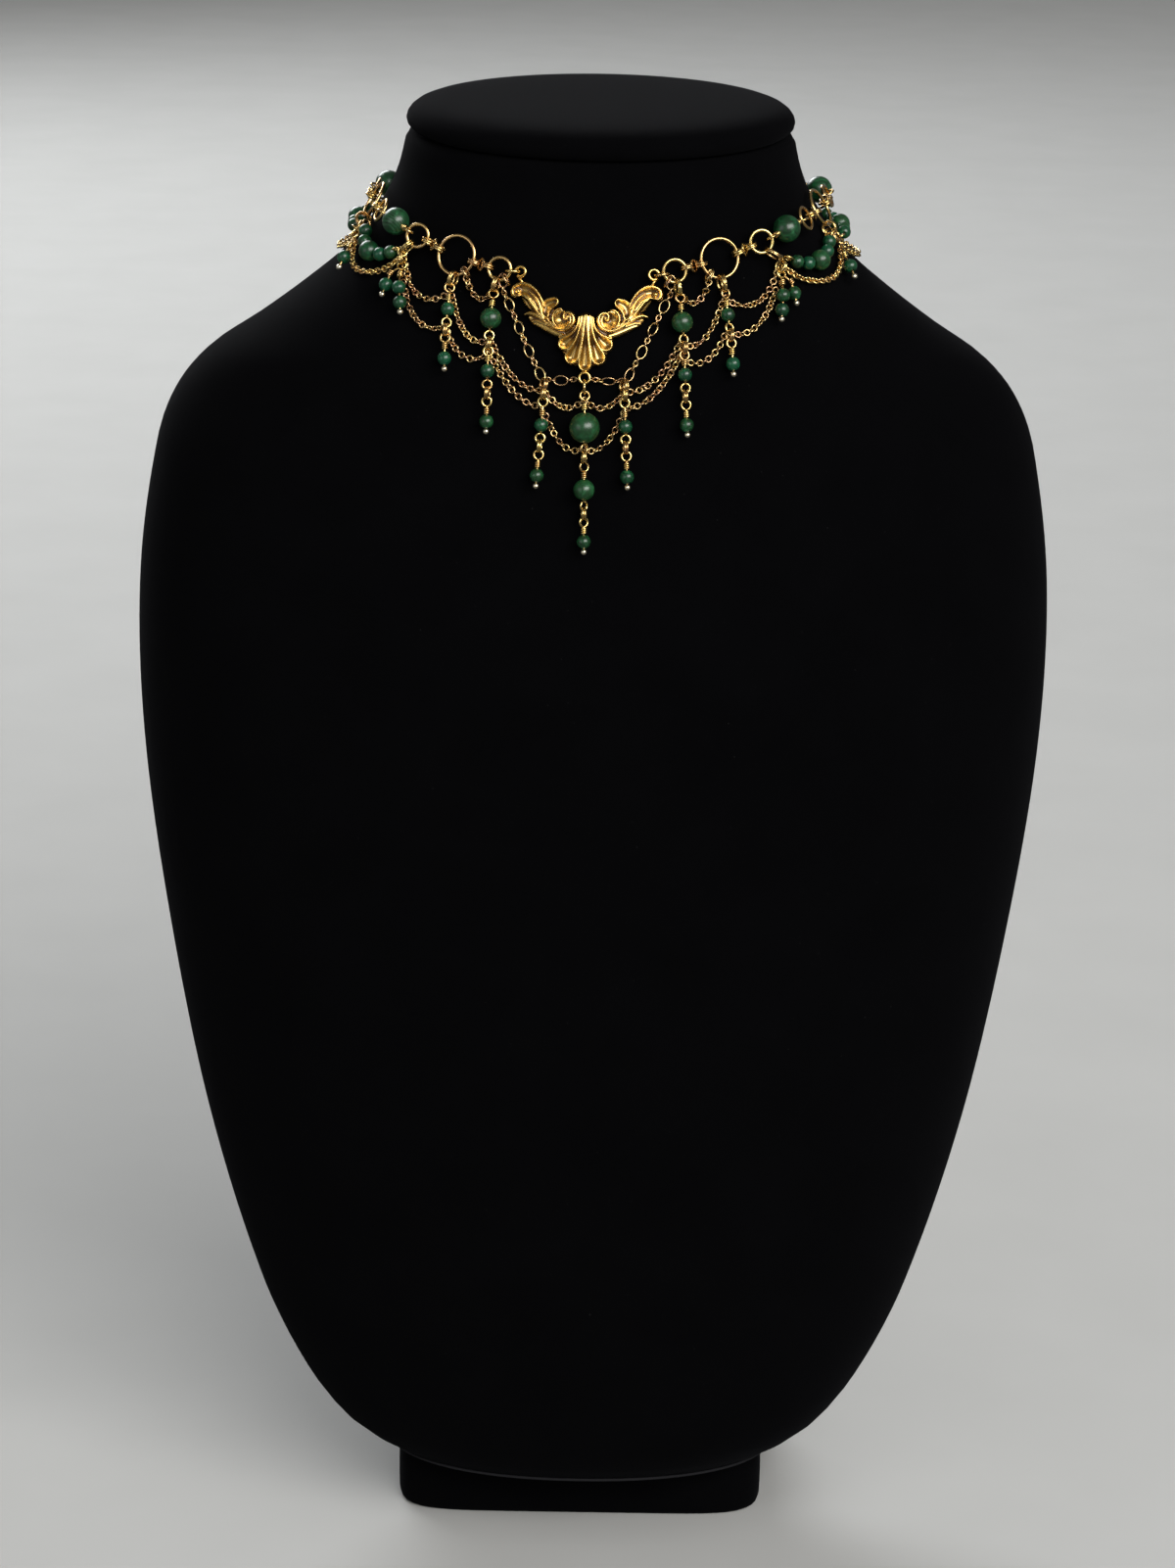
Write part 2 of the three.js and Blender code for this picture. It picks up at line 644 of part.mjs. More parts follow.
// One or two jump rings hung round a wire, below or beside the middle of the ring it belongs to
function hangFrom({ middle, out, radius }, hand, turn, body) {
  const down = new THREE.Vector3(0, 0, -1);
  down.addScaledVector(out, -down.dot(out)).normalize();
  down.applyAxisAngle(out, rad(hand * turn));
  const centre = middle.clone().addScaledVector(down, radius + HOOK_SLACK);
  const tangent = out.clone().cross(down);
  const frame = frameOf(centre, tangent.clone().cross(out), tangent, out);
  const foot = centre.clone().addScaledVector(down, JUMP_RING);
  return { foot, up: down.clone().negate(), body: body.applyMatrix4(frame) };
}

function hookOn(name, members) {
  if (name === "foot_eye") {
    const { x, y } = ORNAMENT.footEye;
    const middle = new THREE.Vector3(x, y, ORNAMENT.eyeRise).applyMatrix4(ornamentFrame);
    const out = new THREE.Vector3().setFromMatrixColumn(ornamentFrame, 2);
    return { middle, out, radius: ORNAMENT.eye };
  }
  const member = members.find((candidate) => candidate.name === name);
  return { ...member, radius: member.kind === "large" ? LARGE_RING : SMALL_RING };
}

// ---- drops --------------------------------------------------------------------------------------

// Each item of a drop as a short stack of ovals: how far up from its middle, and the oval's half
// width along the velvet and off it. Eyes lie flat, pairs of jump rings stand on edge.
const ITEM_OVALS = {
  eye: [[1.85, 0.5, 0.4], [1, 1.75, 0.4], [-1, 1.75, 0.4], [-1.85, 0.5, 0.4]],
  pair: [[2.1, 0.8, 0.6], [1.2, 0.8, 1.9], [-1.2, 0.8, 1.9], [-2.1, 0.8, 0.6]],
  coil: [[0.85, 0.85, 0.85], [-0.85, 0.85, 0.85]],
  bead: [[1.85, 0.75, 0.75], [0.85, 1.85, 1.85], [-0.85, 1.85, 1.85], [-1.85, 0.75, 0.75]],
  ball: [[0.7, 0.45, 0.45], [0.1, 0.85, 0.85], [-0.7, 0.45, 0.45]],
  wire: [[0, 0.4, 0.4]],
};
const OVAL_SIDES = 7;
const NECK_WIRE = 0.4; // half width of the bare wire between two items
const BARE = 0.5; // two items further apart than this show bare wire between them

const oval = (centre, side, out, width, depth) => Array.from({ length: OVAL_SIDES }, (_, i) => {
  const turn = (2 * Math.PI * i) / OVAL_SIDES;
  return centre.clone()
    .addScaledVector(side, width * Math.cos(turn))
    .addScaledVector(out, depth * Math.sin(turn));
});

// One skin down a line of items
function threaded(items) {
  const rings = [];
  let last = null;
  const addOval = (item, up, width, depth) => {
    const centre = item.point.clone().addScaledVector(item.up, up);
    if (last && last.clone().sub(centre).dot(item.up) < 0.12) return;
    rings.push(oval(centre, item.side, item.out, width, depth));
    last = centre;
  };
  items.forEach((item, i) => {
    const ovals = ITEM_OVALS[item.kind];
    const head = item.point.clone().addScaledVector(item.up, ovals[0][0]);
    if (last && last.distanceTo(head) > BARE) {
      const above = items[i - 1];
      const foot = ITEM_OVALS[above.kind].at(-1)[0];
      addOval(above, foot - 0.15, NECK_WIRE, NECK_WIRE);
      addOval(item, ovals[0][0] + 0.15, NECK_WIRE, NECK_WIRE);
    }
    for (const [up, width, depth] of ovals) addOval(item, up, width, depth);
  });
  return loft(rings);
}

function dropItems(drop, hand) {
  const fall = drop.top.z - drop.foot.z;
  return drop.items.map((item) => {
    const t = (drop.top.z - item.z) / fall;
    const v = hand * THREE.MathUtils.lerp(drop.top.v, drop.foot.v, t) + (drop.lean ?? 0) * t;
    return { ...item, ...place(v, item.z, item.lift ?? HANG_LIFT) };
  });
}

// A bead threaded on the bare wire between two items
function threadedStone(size, above, below) {
  const a = above.point.clone().addScaledVector(above.up, ITEM_OVALS[above.kind].at(-1)[0]);
  const b = below.point.clone().addScaledVector(below.up, ITEM_OVALS[below.kind][0][0]);
  const turn = new THREE.Quaternion()
    .setFromUnitVectors(new THREE.Vector3(0, 1, 0), a.clone().sub(b).normalize());
  return boredBead(size, 10).applyQuaternion(turn).translate(...a.lerp(b, 0.5).toArray());
}

function dropBodies(drop, hand, members) {
  const items = dropItems(drop, hand);
  const pieces = [];
  if (drop.hook) {
    const { ring: name, turn, single } = drop.hook;
    const rings = single ? jumpRing(JUMP_RING) : pairBand(JUMP_RING);
    const hook = hangFrom(hookOn(name, members), hand, turn, rings);
    pieces.push(hook.body);
    items.unshift({ ...items[0], kind: "wire", point: hook.foot, up: hook.up });
  }
  pieces.push(threaded(items));
  if (drop.rear) {
    const rear = drop.rear.map((item) => ({ ...item, ...place(hand * item.v, item.z, HANG_LIFT) }));
    pieces.push(threaded([{ ...items[2], kind: "wire" }, ...rear]));
  }
  const stones = [];
  items.forEach((item, i) => {
    if (item.stone) stones.push(threadedStone(item.stone, item, items[i + 1]));
  });
  return { wire: pieces.length > 1 ? joined(pieces) : pieces[0], stones };
}

// ---- chains -------------------------------------------------------------------------------------

const SWAG_STEPS = 5;

// Points along one side's swags, from the middle outward
function swagLine(catches, hand, lift) {
  const points = [];
  for (let i = 0; i + 1 < catches.length; i += 1) {
    const [a, b] = [catches[i], catches[i + 1]];
    for (let k = 0; k < SWAG_STEPS; k += 1) {
      const t = k / SWAG_STEPS;
      const z = THREE.MathUtils.lerp(a.z, b.z, t) - 4 * a.sag * t * (1 - t);
      points.push(place(hand * THREE.MathUtils.lerp(a.v, b.v, t), z, lift).point);
    }
  }
  const end = catches[catches.length - 1];
  points.push(place(hand * end.v, end.z, lift).point);
  return points;
}

function frontSwags(catches) {
  const left = swagLine(catches, -1, CHAIN_LIFT).slice(1).reverse();
  return tube([...left, ...swagLine(catches, 1, CHAIN_LIFT)], CHAIN_RADIUS);
}

// Points a bead strand hangs through: a shallow curve between two places
function strandLine(a, b, sag, hand) {
  const steps = 16;
  return Array.from({ length: steps + 1 }, (_, k) => {
    const t = k / steps;
    const mix = (key) => THREE.MathUtils.lerp(a[key], b[key], t);
    return place(hand * mix("v"), mix("z") - 4 * sag * t * (1 - t), mix("lift")).point;
  });
}

// A bead strand's skin: a few rings to each bead and bare wire between
function beadStrand({ near, far, sag }, hand) {
  const curve = new THREE.CatmullRomCurve3(strandLine(near, far, sag, hand));
  const length = curve.getLength();
  const rings = [];
  const ringAt = (distance, radius) => {
    const t = distance / length;
    const along = curve.getTangentAt(t);
    const across = new THREE.Vector3(0, 0, 1).cross(along).normalize();
    rings.push(oval(curve.getPointAt(t), across, along.clone().cross(across), radius, radius));
  };
  const filled = STRAND.beads.reduce((sum, size) => sum + size + STRAND.spacing, 0);
  let at = (length - filled + STRAND.spacing) / 2;
  ringAt(0, NECK_WIRE);
  for (const size of STRAND.beads) {
    const radius = size / 2;
    for (const step of [-0.93, -0.45, 0.45, 0.93]) {
      ringAt(at + radius * (1 + step), radius * Math.sqrt(1 - step * step));
    }
    at += size + STRAND.spacing;
  }
  ringAt(length, NECK_WIRE);
  return loft(rings);
}

// A chain that starts in a jump ring of its own, hung from one of the top row's rings
function hookedChain(catches, hand, members, { ring: name, turn }) {
  const hook = hangFrom(hookOn(name, members), hand, turn, jumpRing(JUMP_RING));
  const line = swagLine(catches, hand, CHAIN_LIFT);
  return joined([hook.body, tube([hook.foot, ...line], CHAIN_RADIUS)]);
}

// ---- back of the neck ---------------------------------------------------------------------------

const CLASP_V = 180 - (CLASP.length / 2 + GAP) / 0.72; // 0.72 mm of neck to each degree there

function backChain(hand, start) {
  const points = [start.point.clone()];
  const steps = 10;
  for (let i = 1; i <= steps; i += 1) {
    const v = THREE.MathUtils.lerp(start.v + 5, CLASP_V, i / steps);
    points.push(rowPlace(hand, v, BACK_CHAIN_RADIUS + NAP).point);
  }
  return tube(points, BACK_CHAIN_RADIUS);
}

function clasp() {
  const shape = new THREE.CapsuleGeometry(CLASP.width / 2, CLASP.length - CLASP.width, 4, 12)
    .rotateZ(Math.PI / 2)
    .scale(1, 1, CLASP.thick / CLASP.width);
  const spot = place(180, between(ROW_LINE, "v", 180, "z"), CLASP.thick / 2 + 2 * GAP);
  return shape.applyMatrix4(placeFrame(spot));
}

// ---- assembly -----------------------------------------------------------------------------------

const group = new THREE.Group();

function add(name, geometry, material) {
  const mesh = new THREE.Mesh(closed(geometry), material);
  mesh.name = name;
  group.add(mesh);
}

add("bust_form", bustForm(), velvet());
add("neck_cap", neckCap(), velvet());
add("base_block", baseBlock(), velvet());
add("centre_ornament", centreOrnament(), gold());
add("upper_swag_chain", frontSwags(UPPER_SWAGS), gold());
add("lower_swag_chain", frontSwags(LOWER_SWAGS), gold());
add("clasp", clasp(), gold());

for (const [label, hand] of [["left", -1], ["right", 1]]) {
  const members = rowMembers(hand);
  const links = [];
  for (const member of members) {
    const name = `${label}_${member.name}`;
    const body = ROW_BODIES[member.kind]().applyMatrix4(member.frame);
    if (member.joined) {
      links.push(body);
      if (member.kind === "connector") links.push(rod(member.from, member.to));
    } else {
      add(name, body, gold());
    }
    if (member.kind === "stone") {
      const bead = boredBead(LARGE_BEAD, 10).rotateZ(Math.PI / 2).applyMatrix4(member.frame);
      add(name.replace("wire", "stone"), bead, stone());
    }
  }
  add(`${label}_side_links`, joined(links), gold());
  const last = members[members.length - 1];
  const start = last.to.clone().addScaledVector(last.along, STONE_EYE + JUMP_WIRE + GAP);
  add(`${label}_back_chain`, backChain(hand, { point: start, v: last.v }), gold());
  add(`${label}_top_swag`, hookedChain(TOP_SWAG, hand, members, TOP_SWAG_HOOK), gold());
  add(`${label}_oval_chain`, hookedChain(OVAL_CHAIN, hand, members, OVAL_CHAIN_HOOK), gold());
  add(`${label}_side_swag`, tube(swagLine(SIDE_SWAGS, hand, SIDE_LIFT), CHAIN_RADIUS), gold());
  STRANDS.forEach((ends, i) =>
    add(`${label}_bead_strand_${i + 1}`, beadStrand(ends, hand), stone()));
  for (const drop of DROPS) {
    const centre = drop.name === "drop_centre";
    if (centre && hand < 0) continue;
    const { wire, stones } = dropBodies(drop, hand, members);
    const name = centre ? drop.name : `${label}_${drop.name}`;
    add(name, wire, gold());
    stones.forEach((bead, i) => add(`${name}_stone${stones.length > 1 ? `_${i + 1}` : ""}`,
      bead, stone()));
  }
}

export default group;
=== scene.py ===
"""Choker necklace on a velvet neck bust: gold links and swags, green stone drops.

Metres, +Z up, the wearer's front towards -Y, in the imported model's own frame. The necklace is laid
out on the bust by an angle round the neck from the necklace's own middle, a height, and a lift, which
is how far a piece's middle stands off the velvet.
"""

import math
import random

import bpy
import numpy as np
from mathutils import Matrix, Vector


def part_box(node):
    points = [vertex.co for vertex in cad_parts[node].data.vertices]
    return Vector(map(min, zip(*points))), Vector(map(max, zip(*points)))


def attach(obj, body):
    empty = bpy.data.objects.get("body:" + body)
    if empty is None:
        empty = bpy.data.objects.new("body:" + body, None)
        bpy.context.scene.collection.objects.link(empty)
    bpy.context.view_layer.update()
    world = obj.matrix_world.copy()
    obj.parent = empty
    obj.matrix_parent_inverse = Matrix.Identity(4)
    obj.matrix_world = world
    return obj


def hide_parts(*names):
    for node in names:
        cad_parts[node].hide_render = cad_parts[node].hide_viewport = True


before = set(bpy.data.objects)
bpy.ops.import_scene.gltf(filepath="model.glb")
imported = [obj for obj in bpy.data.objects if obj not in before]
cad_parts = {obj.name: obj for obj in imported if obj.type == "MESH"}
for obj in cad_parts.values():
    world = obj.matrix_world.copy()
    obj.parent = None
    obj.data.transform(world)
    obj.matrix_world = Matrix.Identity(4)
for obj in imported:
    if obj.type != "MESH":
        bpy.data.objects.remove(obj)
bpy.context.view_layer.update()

MM = 0.001
CHANCE = random.Random(11)

# ---- driving sizes ----

NAP = 0.45 * MM  # between the velvet and what lies on it
PLAY = 0.45 * MM  # round a wire inside an eye

SLIP = 4  # degrees that the front of the necklace has slid round the neck
RING_WIRE = 1.0 * MM
JUMP_WIRE = 0.8 * MM
EYE_WIRE = 0.68 * MM
CHAIN_WIRE = 0.52 * MM
SMALL_RING = 3.25 * MM  # radius of a ring to the middle of its wire
LARGE_RING = 5.6 * MM
JUMP_RING = 1.7 * MM
START_RING = 2 * MM
CONNECTOR_SPREAD = 4.26 * MM
STONE_LENGTH = 7.8 * MM  # of a large bead between its two coils
STONE_EYE = 1.5 * MM
STONE_COIL = 1 * MM
SMALL_BEAD = 4 * MM
MIDDLE_BEAD = 6.1 * MM
LARGE_BEAD = 7.9 * MM
CENTRE_BEAD = 8.7 * MM
BALL = 1.8 * MM
CHAIN_LIFT = 0.7 * MM + NAP
BACK_LIFT = 1.1 * MM + NAP
HANG_LIFT = 3.15 * MM
ROW_LIFT = 2.95 * MM
STONE_LIFT = 5 * MM

# Bust sections: height, half width, line of greatest width, depth in front of it and behind it in
# millimetres, and how square the oval is
SECTIONS = np.array([
    (22, 61, -26, 33, 23, 2.2), (32, 76, -24, 40, 24, 2.2), (48, 89, -20, 46, 24, 2.2),
    (75, 102, -16, 53, 24, 2.2), (130, 118, -12, 60, 24, 2.2), (190, 129, -10, 63, 25, 2.2),
    (250, 136, -9, 63, 27, 2.2), (300, 136.5, -8, 59, 30, 2.2), (340, 131, -6, 54, 34, 2.2),
    (356, 125, -5, 51, 36, 2.1), (368, 115, -4, 49.5, 38, 2.1), (378, 100, -3, 48.5, 39, 2),
    (388, 86, -1, 46.5, 40.5, 2), (398, 74, 0, 45, 41, 2), (410, 65, 0, 43.5, 41, 2),
    (421, 59.5, 0, 41.5, 41, 2), (433, 56.5, 0, 40, 40, 2),
]) * (MM, MM, MM, MM, MM, 1)
NECK_TILT = 0.1  # the neck's top rises this much per metre towards the back
TILT_FROM = 412 * MM

# The top row's line round the neck: angle, height
ROW_LINE = np.array([
    (20, 397.2), (31, 399.5), (45, 402.1), (57, 406), (65, 408.3), (73, 410), (84, 411),
    (97, 411.5), (180, 411.5),
]) * (1, MM)
ROW_TILT = 0.5 * MM  # the row hangs this much higher on the right and lower on the left

# Members of the top row, outward from the ornament: name, lift of the far end. Those beyond the first
# large bead, up to the second, are the side links.
ROW = [
    ("jump_ring", ROW_LIFT), ("small_ring_1", ROW_LIFT), ("connector_1", ROW_LIFT),
    ("large_ring_1", ROW_LIFT), ("connector_2", ROW_LIFT), ("small_ring_2", STONE_LIFT),
    ("row_wire_1", STONE_LIFT), ("small_ring_3", ROW_LIFT + 0.4 * MM), ("connector_3", ROW_LIFT),
    ("large_ring_2", ROW_LIFT), ("connector_4", ROW_LIFT + 0.4 * MM), ("small_ring_4", STONE_LIFT),
    ("row_wire_2", STONE_LIFT),
]

# Drops, for the right hand of a pair: angle and height of the top and of the foot, in degrees and
# millimetres; the ring it hangs from and the turn round that ring; how many degrees its foot leans to
# the right; and its items going downward, as item() takes them.
DROPS = {
    "drop_centre": dict(top=(0.1, 369), foot=(1, 321.9), hook=("foot_eye", 0), lean=0, items=[
        ("eye", 365.4, 10, 3.6), ("coil", 362.2, 0, 4.7), ("bead", 356.4, CENTRE_BEAD, 4.9),
        ("eye", 350.6, 50, 4.2), ("pair", 348.2, 0, 3.6), ("eye", 345.6, 30, 3.3),
        ("coil", 343.2, 0, 3.5), ("bead", 339.4, MIDDLE_BEAD, 3.6), ("eye", 334.9, 48, 3.4),
        ("pair", 332.7, 0, 3.2), ("eye", 330.4, 35, 3.2), ("coil", 327.9), ("bead", 324.9), ("ball", 322),
    ]),
    "drop_1": dict(top=(12.9, 368), foot=(13.5, 340.2), lean=0, items=[
        ("pair", 368.2, 22, 3), ("pair", 365.8, 5, 3), ("eye", 363.5, 6), ("coil", 360.3),
        ("bead", 356.9), ("eye", 353.2, 4), ("pair", 351), ("eye", 348.6, 8), ("coil", 345.9),
        ("bead", 343), ("ball", 340.2),
    ]),
    "drop_2": dict(top=(30.9, 392), foot=(29.5, 354.6), hook=("small_ring_1", 12), lean=1.1, items=[
        ("eye", 391.8, 8), ("coil", 388.9, 0, 3.7), ("bead", 384.7, MIDDLE_BEAD, 3.7),
        ("eye", 380.3, 20, 3.4), ("pair", 378.4, 12), ("eye", 376.5, 10), ("coil", 374.6),
        ("bead", 371.4), ("eye", 367.6, 12), ("pair", 365.4), ("eye", 363, 4), ("coil", 360.3),
        ("bead", 357.4), ("ball", 354.6),
    ]),
    "drop_3": dict(top=(43.8, 392.4), foot=(41.4, 371.2), hook=("large_ring_1", 0), lean=1.2, items=[
        ("eye", 392.4, 20), ("coil", 389.6), ("bead", 386.5), ("eye", 382.9, 25), ("pair", 381, 8),
        ("eye", 379.1, 5), ("coil", 376.9), ("bead", 373.9), ("ball", 371.2),
    ]),
    "drop_4": dict(top=(60.2, 400.4), foot=(54.4, 384.2), hook=("small_ring_2", 40), lean=0.8, items=[
        ("eye", 400.4, 35), ("pair", 398.5, 15), ("eye", 396.6, 10), ("coil", 393.8, 0, 3.8),
        ("bead", 390.4, SMALL_BEAD, 4.4), ("bead", 386.7, SMALL_BEAD, 3.8), ("ball", 384.2, 0, 3.8),
    ], rear=[(60.6, "coil", 394), (60.2, "bead", 390.9), (59.8, "ball", 388.3)]),
    "drop_5": dict(top=(79.4, 401), foot=(74.8, 392.2), hook=("large_ring_2", -18), lean=0.5, items=[
        ("eye", 401.2, 20, 3.5), ("coil", 397.9, 0, 3.6), ("bead", 394.8, SMALL_BEAD, 4),
        ("ball", 392.2, 0, 4),
    ]),
}

# Fine chains: angle and height where each is caught up, and how far it hangs below the straight
# line to the next
UPPER_SWAGS = [(0, 364.2, 3.4), (12.9, 366.6, 4), (29.9, 379.8, 5), (43.6, 391.6, 5), (58.9, 397.6, 0)]
LOWER_SWAGS = [(0, 350.6, 4.6), (13.4, 362.2, 3.8), (29.8, 376.4, 4.5), (42.6, 382.3, 4.4), (57, 393, 0)]
SIDE_SWAG_START = (60.2, 398.6)  # in the rings of the fourth drop
SIDE_SWAGS = [(61.8, 396.6, 5), (81, 401, 6.6), (106, 405, 0)]
TOP_SWAG = [(39, 393.8, 2.2), (32.4, 391.6, 0)]
OVAL_CHAIN = [(28.2, 392.8, 0), (13.6, 369.9, 0.6), (1.9, 370.2, 0)]
# Bead strands: angle, height and lift of each end, and the sag between
STRANDS = [
    ((61.9, 400.5, 3.4 * MM), (78.4, 404.8, 2.8 * MM), 4.2),
    ((81.9, 402.6, 3.2 * MM), (104, 406.8, 2.8 * MM), 1),
]
STRAND_BEADS = (SMALL_BEAD, SMALL_BEAD, 6 * MM, SMALL_BEAD, SMALL_BEAD)


# ---- finishes ----

class Shade:
    """A shader socket that takes part in arithmetic."""

    def __init__(self, finish, socket):
        self.finish, self.socket = finish, socket

    def maths(self, operation, *values):
        return self.finish.node("Math", {"operation": operation}, dict(enumerate(values)))

    def __add__(self, other):
        return self.maths("ADD", self, other)

    def __sub__(self, other):
        return self.maths("SUBTRACT", self, other)

    def __rsub__(self, other):
        return self.maths("SUBTRACT", other, self)

    def __mul__(self, other):
        return self.maths("MULTIPLY", self, other)

    def __pow__(self, other):
        return self.maths("POWER", self, other)

    __radd__, __rmul__ = __add__, __mul__

    def held(self):
        """Kept between 0 and 1."""
        return self.finish.node("Clamp", {}, {"Value": self})


class Finish:
    """A material whose surface is worked out from where a point lies on the piece."""

    def __init__(self, name, **constants):
        self.material = bpy.data.materials.new(name)
        self.material.use_nodes = True
        self.tree = self.material.node_tree
        self.surface = self.tree.nodes["Principled BSDF"]
        self.feed(self.surface, constants)
        self.here = self.node("TexCoord", {}, {}, "Object")

    def feed(self, node, sockets):
        """Feed sockets, given by name or by number, with shades or with constants."""
        for key, value in sockets.items():
            socket = node.inputs[key.replace("_", " ") if isinstance(key, str) else key]
            if isinstance(value, Shade):
                self.tree.links.new(value.socket, socket)
            else:
                socket.default_value = value

    def node(self, kind, settings, sockets, output=0):
        """A node of this kind: its settings are made first, then its sockets are fed."""
        made = self.tree.nodes.new("ShaderNode" + kind)
        for key, value in settings.items():
            if key == "stops":
                ramp = made.color_ramp.elements
                while len(ramp) < len(value):
                    ramp.new(1)
                for stop, (position, colour) in zip(ramp, value):
                    stop.position, stop.color = position, (*colour, 1)
            else:
                setattr(made, key, value)
        self.feed(made, sockets)
        return Shade(self, made.outputs[output])

    def noise(self, scale, detail=2, roughness=0.5, distortion=0):
        """Soft patches, 0 to 1, this many to the metre."""
        return self.node("TexNoise", {}, dict(Vector=self.here, Scale=scale, Detail=detail,
                                              Roughness=roughness, Distortion=distortion))

    def stored(self, name):
        """A number that the piece's own points carry."""
        return self.node("Attribute", {"attribute_name": name}, {}, "Fac")

    def ramp(self, value, *stops):
        return self.node("ValToRGB", {"stops": stops}, {"Fac": value})

    def mix(self, share, first, second):
        """One colour turning into another."""
        first, second = [c if isinstance(c, Shade) else (*c, 1) for c in (first, second)]
        return self.node("Mix", {"data_type": "RGBA"}, {0: share, 6: first, 7: second}, 2)

    def bump(self, height, distance, strength):
        return self.node("Bump", {}, dict(Height=height, Distance=distance, Strength=strength))

    def wear(self, **sockets):
        """Feed what changes over the surface."""
        self.feed(self.surface, sockets)
        return self.material


def gold_finish(name, deep, bright, rose, roughness):
    """Lacquered plate: its tone drifts from piece to piece, and it is duller where it was handled."""
    gold = Finish(name, Metallic=1.0, Coat_Weight=0.9, Coat_Roughness=0.12)
    tone = gold.stored("tone")
    patch = gold.noise(260, 3)
    colour = gold.mix((tone + 0.5).held(), deep, bright)
    colour = gold.mix(((0.5 - tone) * patch * 1.1).held(), colour, rose)
    scuff = gold.noise(2600, 2, 0.6)
    return gold.wear(
        Base_Color=colour,
        Roughness=roughness + 0.12 * patch + 0.08 * scuff,
        Normal=gold.bump(scuff, 0.02 * MM, 0.25),
    )


def stamped_gold():
    """The ornament: lacquered and polished on its ridges, with painted shade and some brown patina darkening
    its creases and hollows.
    """
    gold = Finish("stamped_gold", Metallic=1.0, Coat_Weight=1.0, Coat_Roughness=0.14, Coat_IOR=1.6)
    hollow = gold.stored("hollow")
    patch = gold.noise(300, 3)
    # painted shade with some patina: the deeper a point lies in a crease or hollow, the darker and duller it
    # is
    shade_and_patina = (hollow * (0.65 + 0.75 * patch)).held()
    colour = gold.mix(patch, (0.84, 0.50, 0.10), (0.95, 0.66, 0.19))
    # dark brown of the painted shade and patina
    colour = gold.mix(shade_and_patina, colour, (0.105, 0.048, 0.009))
    scuff = gold.noise(2200, 3, 0.6)
    return gold.wear(
        Base_Color=colour,
        Roughness=0.21 + 0.2 * shade_and_patina + 0.07 * scuff,
        Normal=gold.bump(scuff, 0.02 * MM, 0.3),
    )


def green_stone(name, bands=0.0):
    """Mottled green stone with paler clouds and dark grains; some beads are banded."""
    stone = Finish(name, IOR=1.54, Subsurface_Weight=0.12,
                   Subsurface_Radius=(0.5 * MM, 1.3 * MM, 0.7 * MM), Subsurface_Scale=1.0,
                   Coat_Weight=0.16, Coat_Roughness=0.16)
    tone = stone.stored("tone")
    cloud = stone.noise(380, 4, 0.66, 1.1)
    grain = stone.noise(1500, 3, 0.7)
    body = stone.ramp(cloud, (0.32, (0.001, 0.009, 0.003)), (0.46, (0.004, 0.030, 0.009)),
                      (0.57, (0.005, 0.061, 0.019)), (0.70, (0.024, 0.125, 0.048)))
    body = stone.mix(((grain - 0.55) * 5).held() * 0.65, body, (0.001, 0.013, 0.006))
    body = stone.mix((tone * 0.9).held(), body, (0.013, 0.058, 0.015))
    body = stone.mix((tone * -1.2).held(), body, (0.001, 0.070, 0.031))
    if bands:
        band = stone.node("TexWave", {"bands_direction": "DIAGONAL"}, dict(
            Vector=stone.here, Scale=520.0, Distortion=3.6, Detail=2.0, Detail_Scale=0.8))
        body = stone.mix((band ** 6) * bands, body, (0.062, 0.175, 0.085))
    return stone.wear(Base_Color=body, Roughness=0.23 + 0.2 * grain)


def velvet_finish(name, nap_colour, worn_colour):
    """Black flocked velvet: pile that lies in faint patches, with a soft sheen at a glance."""
    velvet = Finish(name, Roughness=1.0, Specular_IOR_Level=0.04, Sheen_Weight=0.012,
                    Sheen_Roughness=0.42, Sheen_Tint=(0.55, 0.57, 0.66, 1))
    lay = velvet.noise(38, 3, 0.6)
    pile = velvet.noise(5200, 2, 0.7)
    worn = velvet.noise(900, 4, 0.7)
    lint = ((velvet.noise(1500, 1, 0.4) - 0.81) * 30).held() * 0.15
    colour = velvet.mix((lay * 0.7 + pile * 0.5 - 0.2).held(), nap_colour, worn_colour)
    colour = velvet.mix(lint, colour, (0.12, 0.12, 0.12))
    return velvet.wear(
        Base_Color=colour,
        Normal=velvet.bump(pile * 0.7 + worn * 0.3, 0.25 * MM, 0.6),
    )


GOLD_WIRE = gold_finish("gold_wire", (0.60, 0.41, 0.10), (0.92, 0.70, 0.24), (0.76, 0.43, 0.20), 0.15)
GOLD_CHAIN = gold_finish("gold_chain", (0.38, 0.26, 0.085), (0.82, 0.61, 0.24), (0.69, 0.37, 0.23), 0.16)
PALE_GOLD = gold_finish("pale_gold", (0.93, 0.84, 0.56), (0.98, 0.93, 0.72), (0.95, 0.80, 0.60), 0.2)
STAMPED_GOLD = stamped_gold()
STONE = green_stone("green_stone")
BANDED_STONE = green_stone("banded_green_stone", bands=0.42)
VELVET = velvet_finish("black_velvet", (0.0005, 0.0005, 0.0007), (0.0016, 0.0016, 0.0020))
# paler velvet for the turned-in edge at the bust's foot
VELVET_EDGE = velvet_finish("pale_velvet_edge", (0.008, 0.008, 0.009), (0.022, 0.022, 0.024))


# ---- parts and pieces ----

# A part is its points, an N x 3 array, and its faces, tuples of point numbers facing outward.

def unit(v):
    return v / np.linalg.norm(v)


def frame_of(point, x, y):
    """The matrix that carries a part's own X and Y to these directions at a point."""
    matrix = np.eye(4)
    matrix[:3] = np.column_stack([x, y, np.cross(x, y), point])
    return matrix


def moved(x, y, z):
    return np.array(Matrix.Translation((x, y, z)))


def turned(degrees, axis):
    return np.array(Matrix.Rotation(math.radians(degrees), 4, axis))


def carried(part, matrix):
    """A part moved by a matrix."""
    points, faces = part
    return points @ matrix[:3, :3].T + matrix[:3, 3], faces


def shown(name, data):
    """A new object of this data, in the scene."""
    made = bpy.data.objects.new(name, data)
    bpy.context.scene.collection.objects.link(made)
    return made


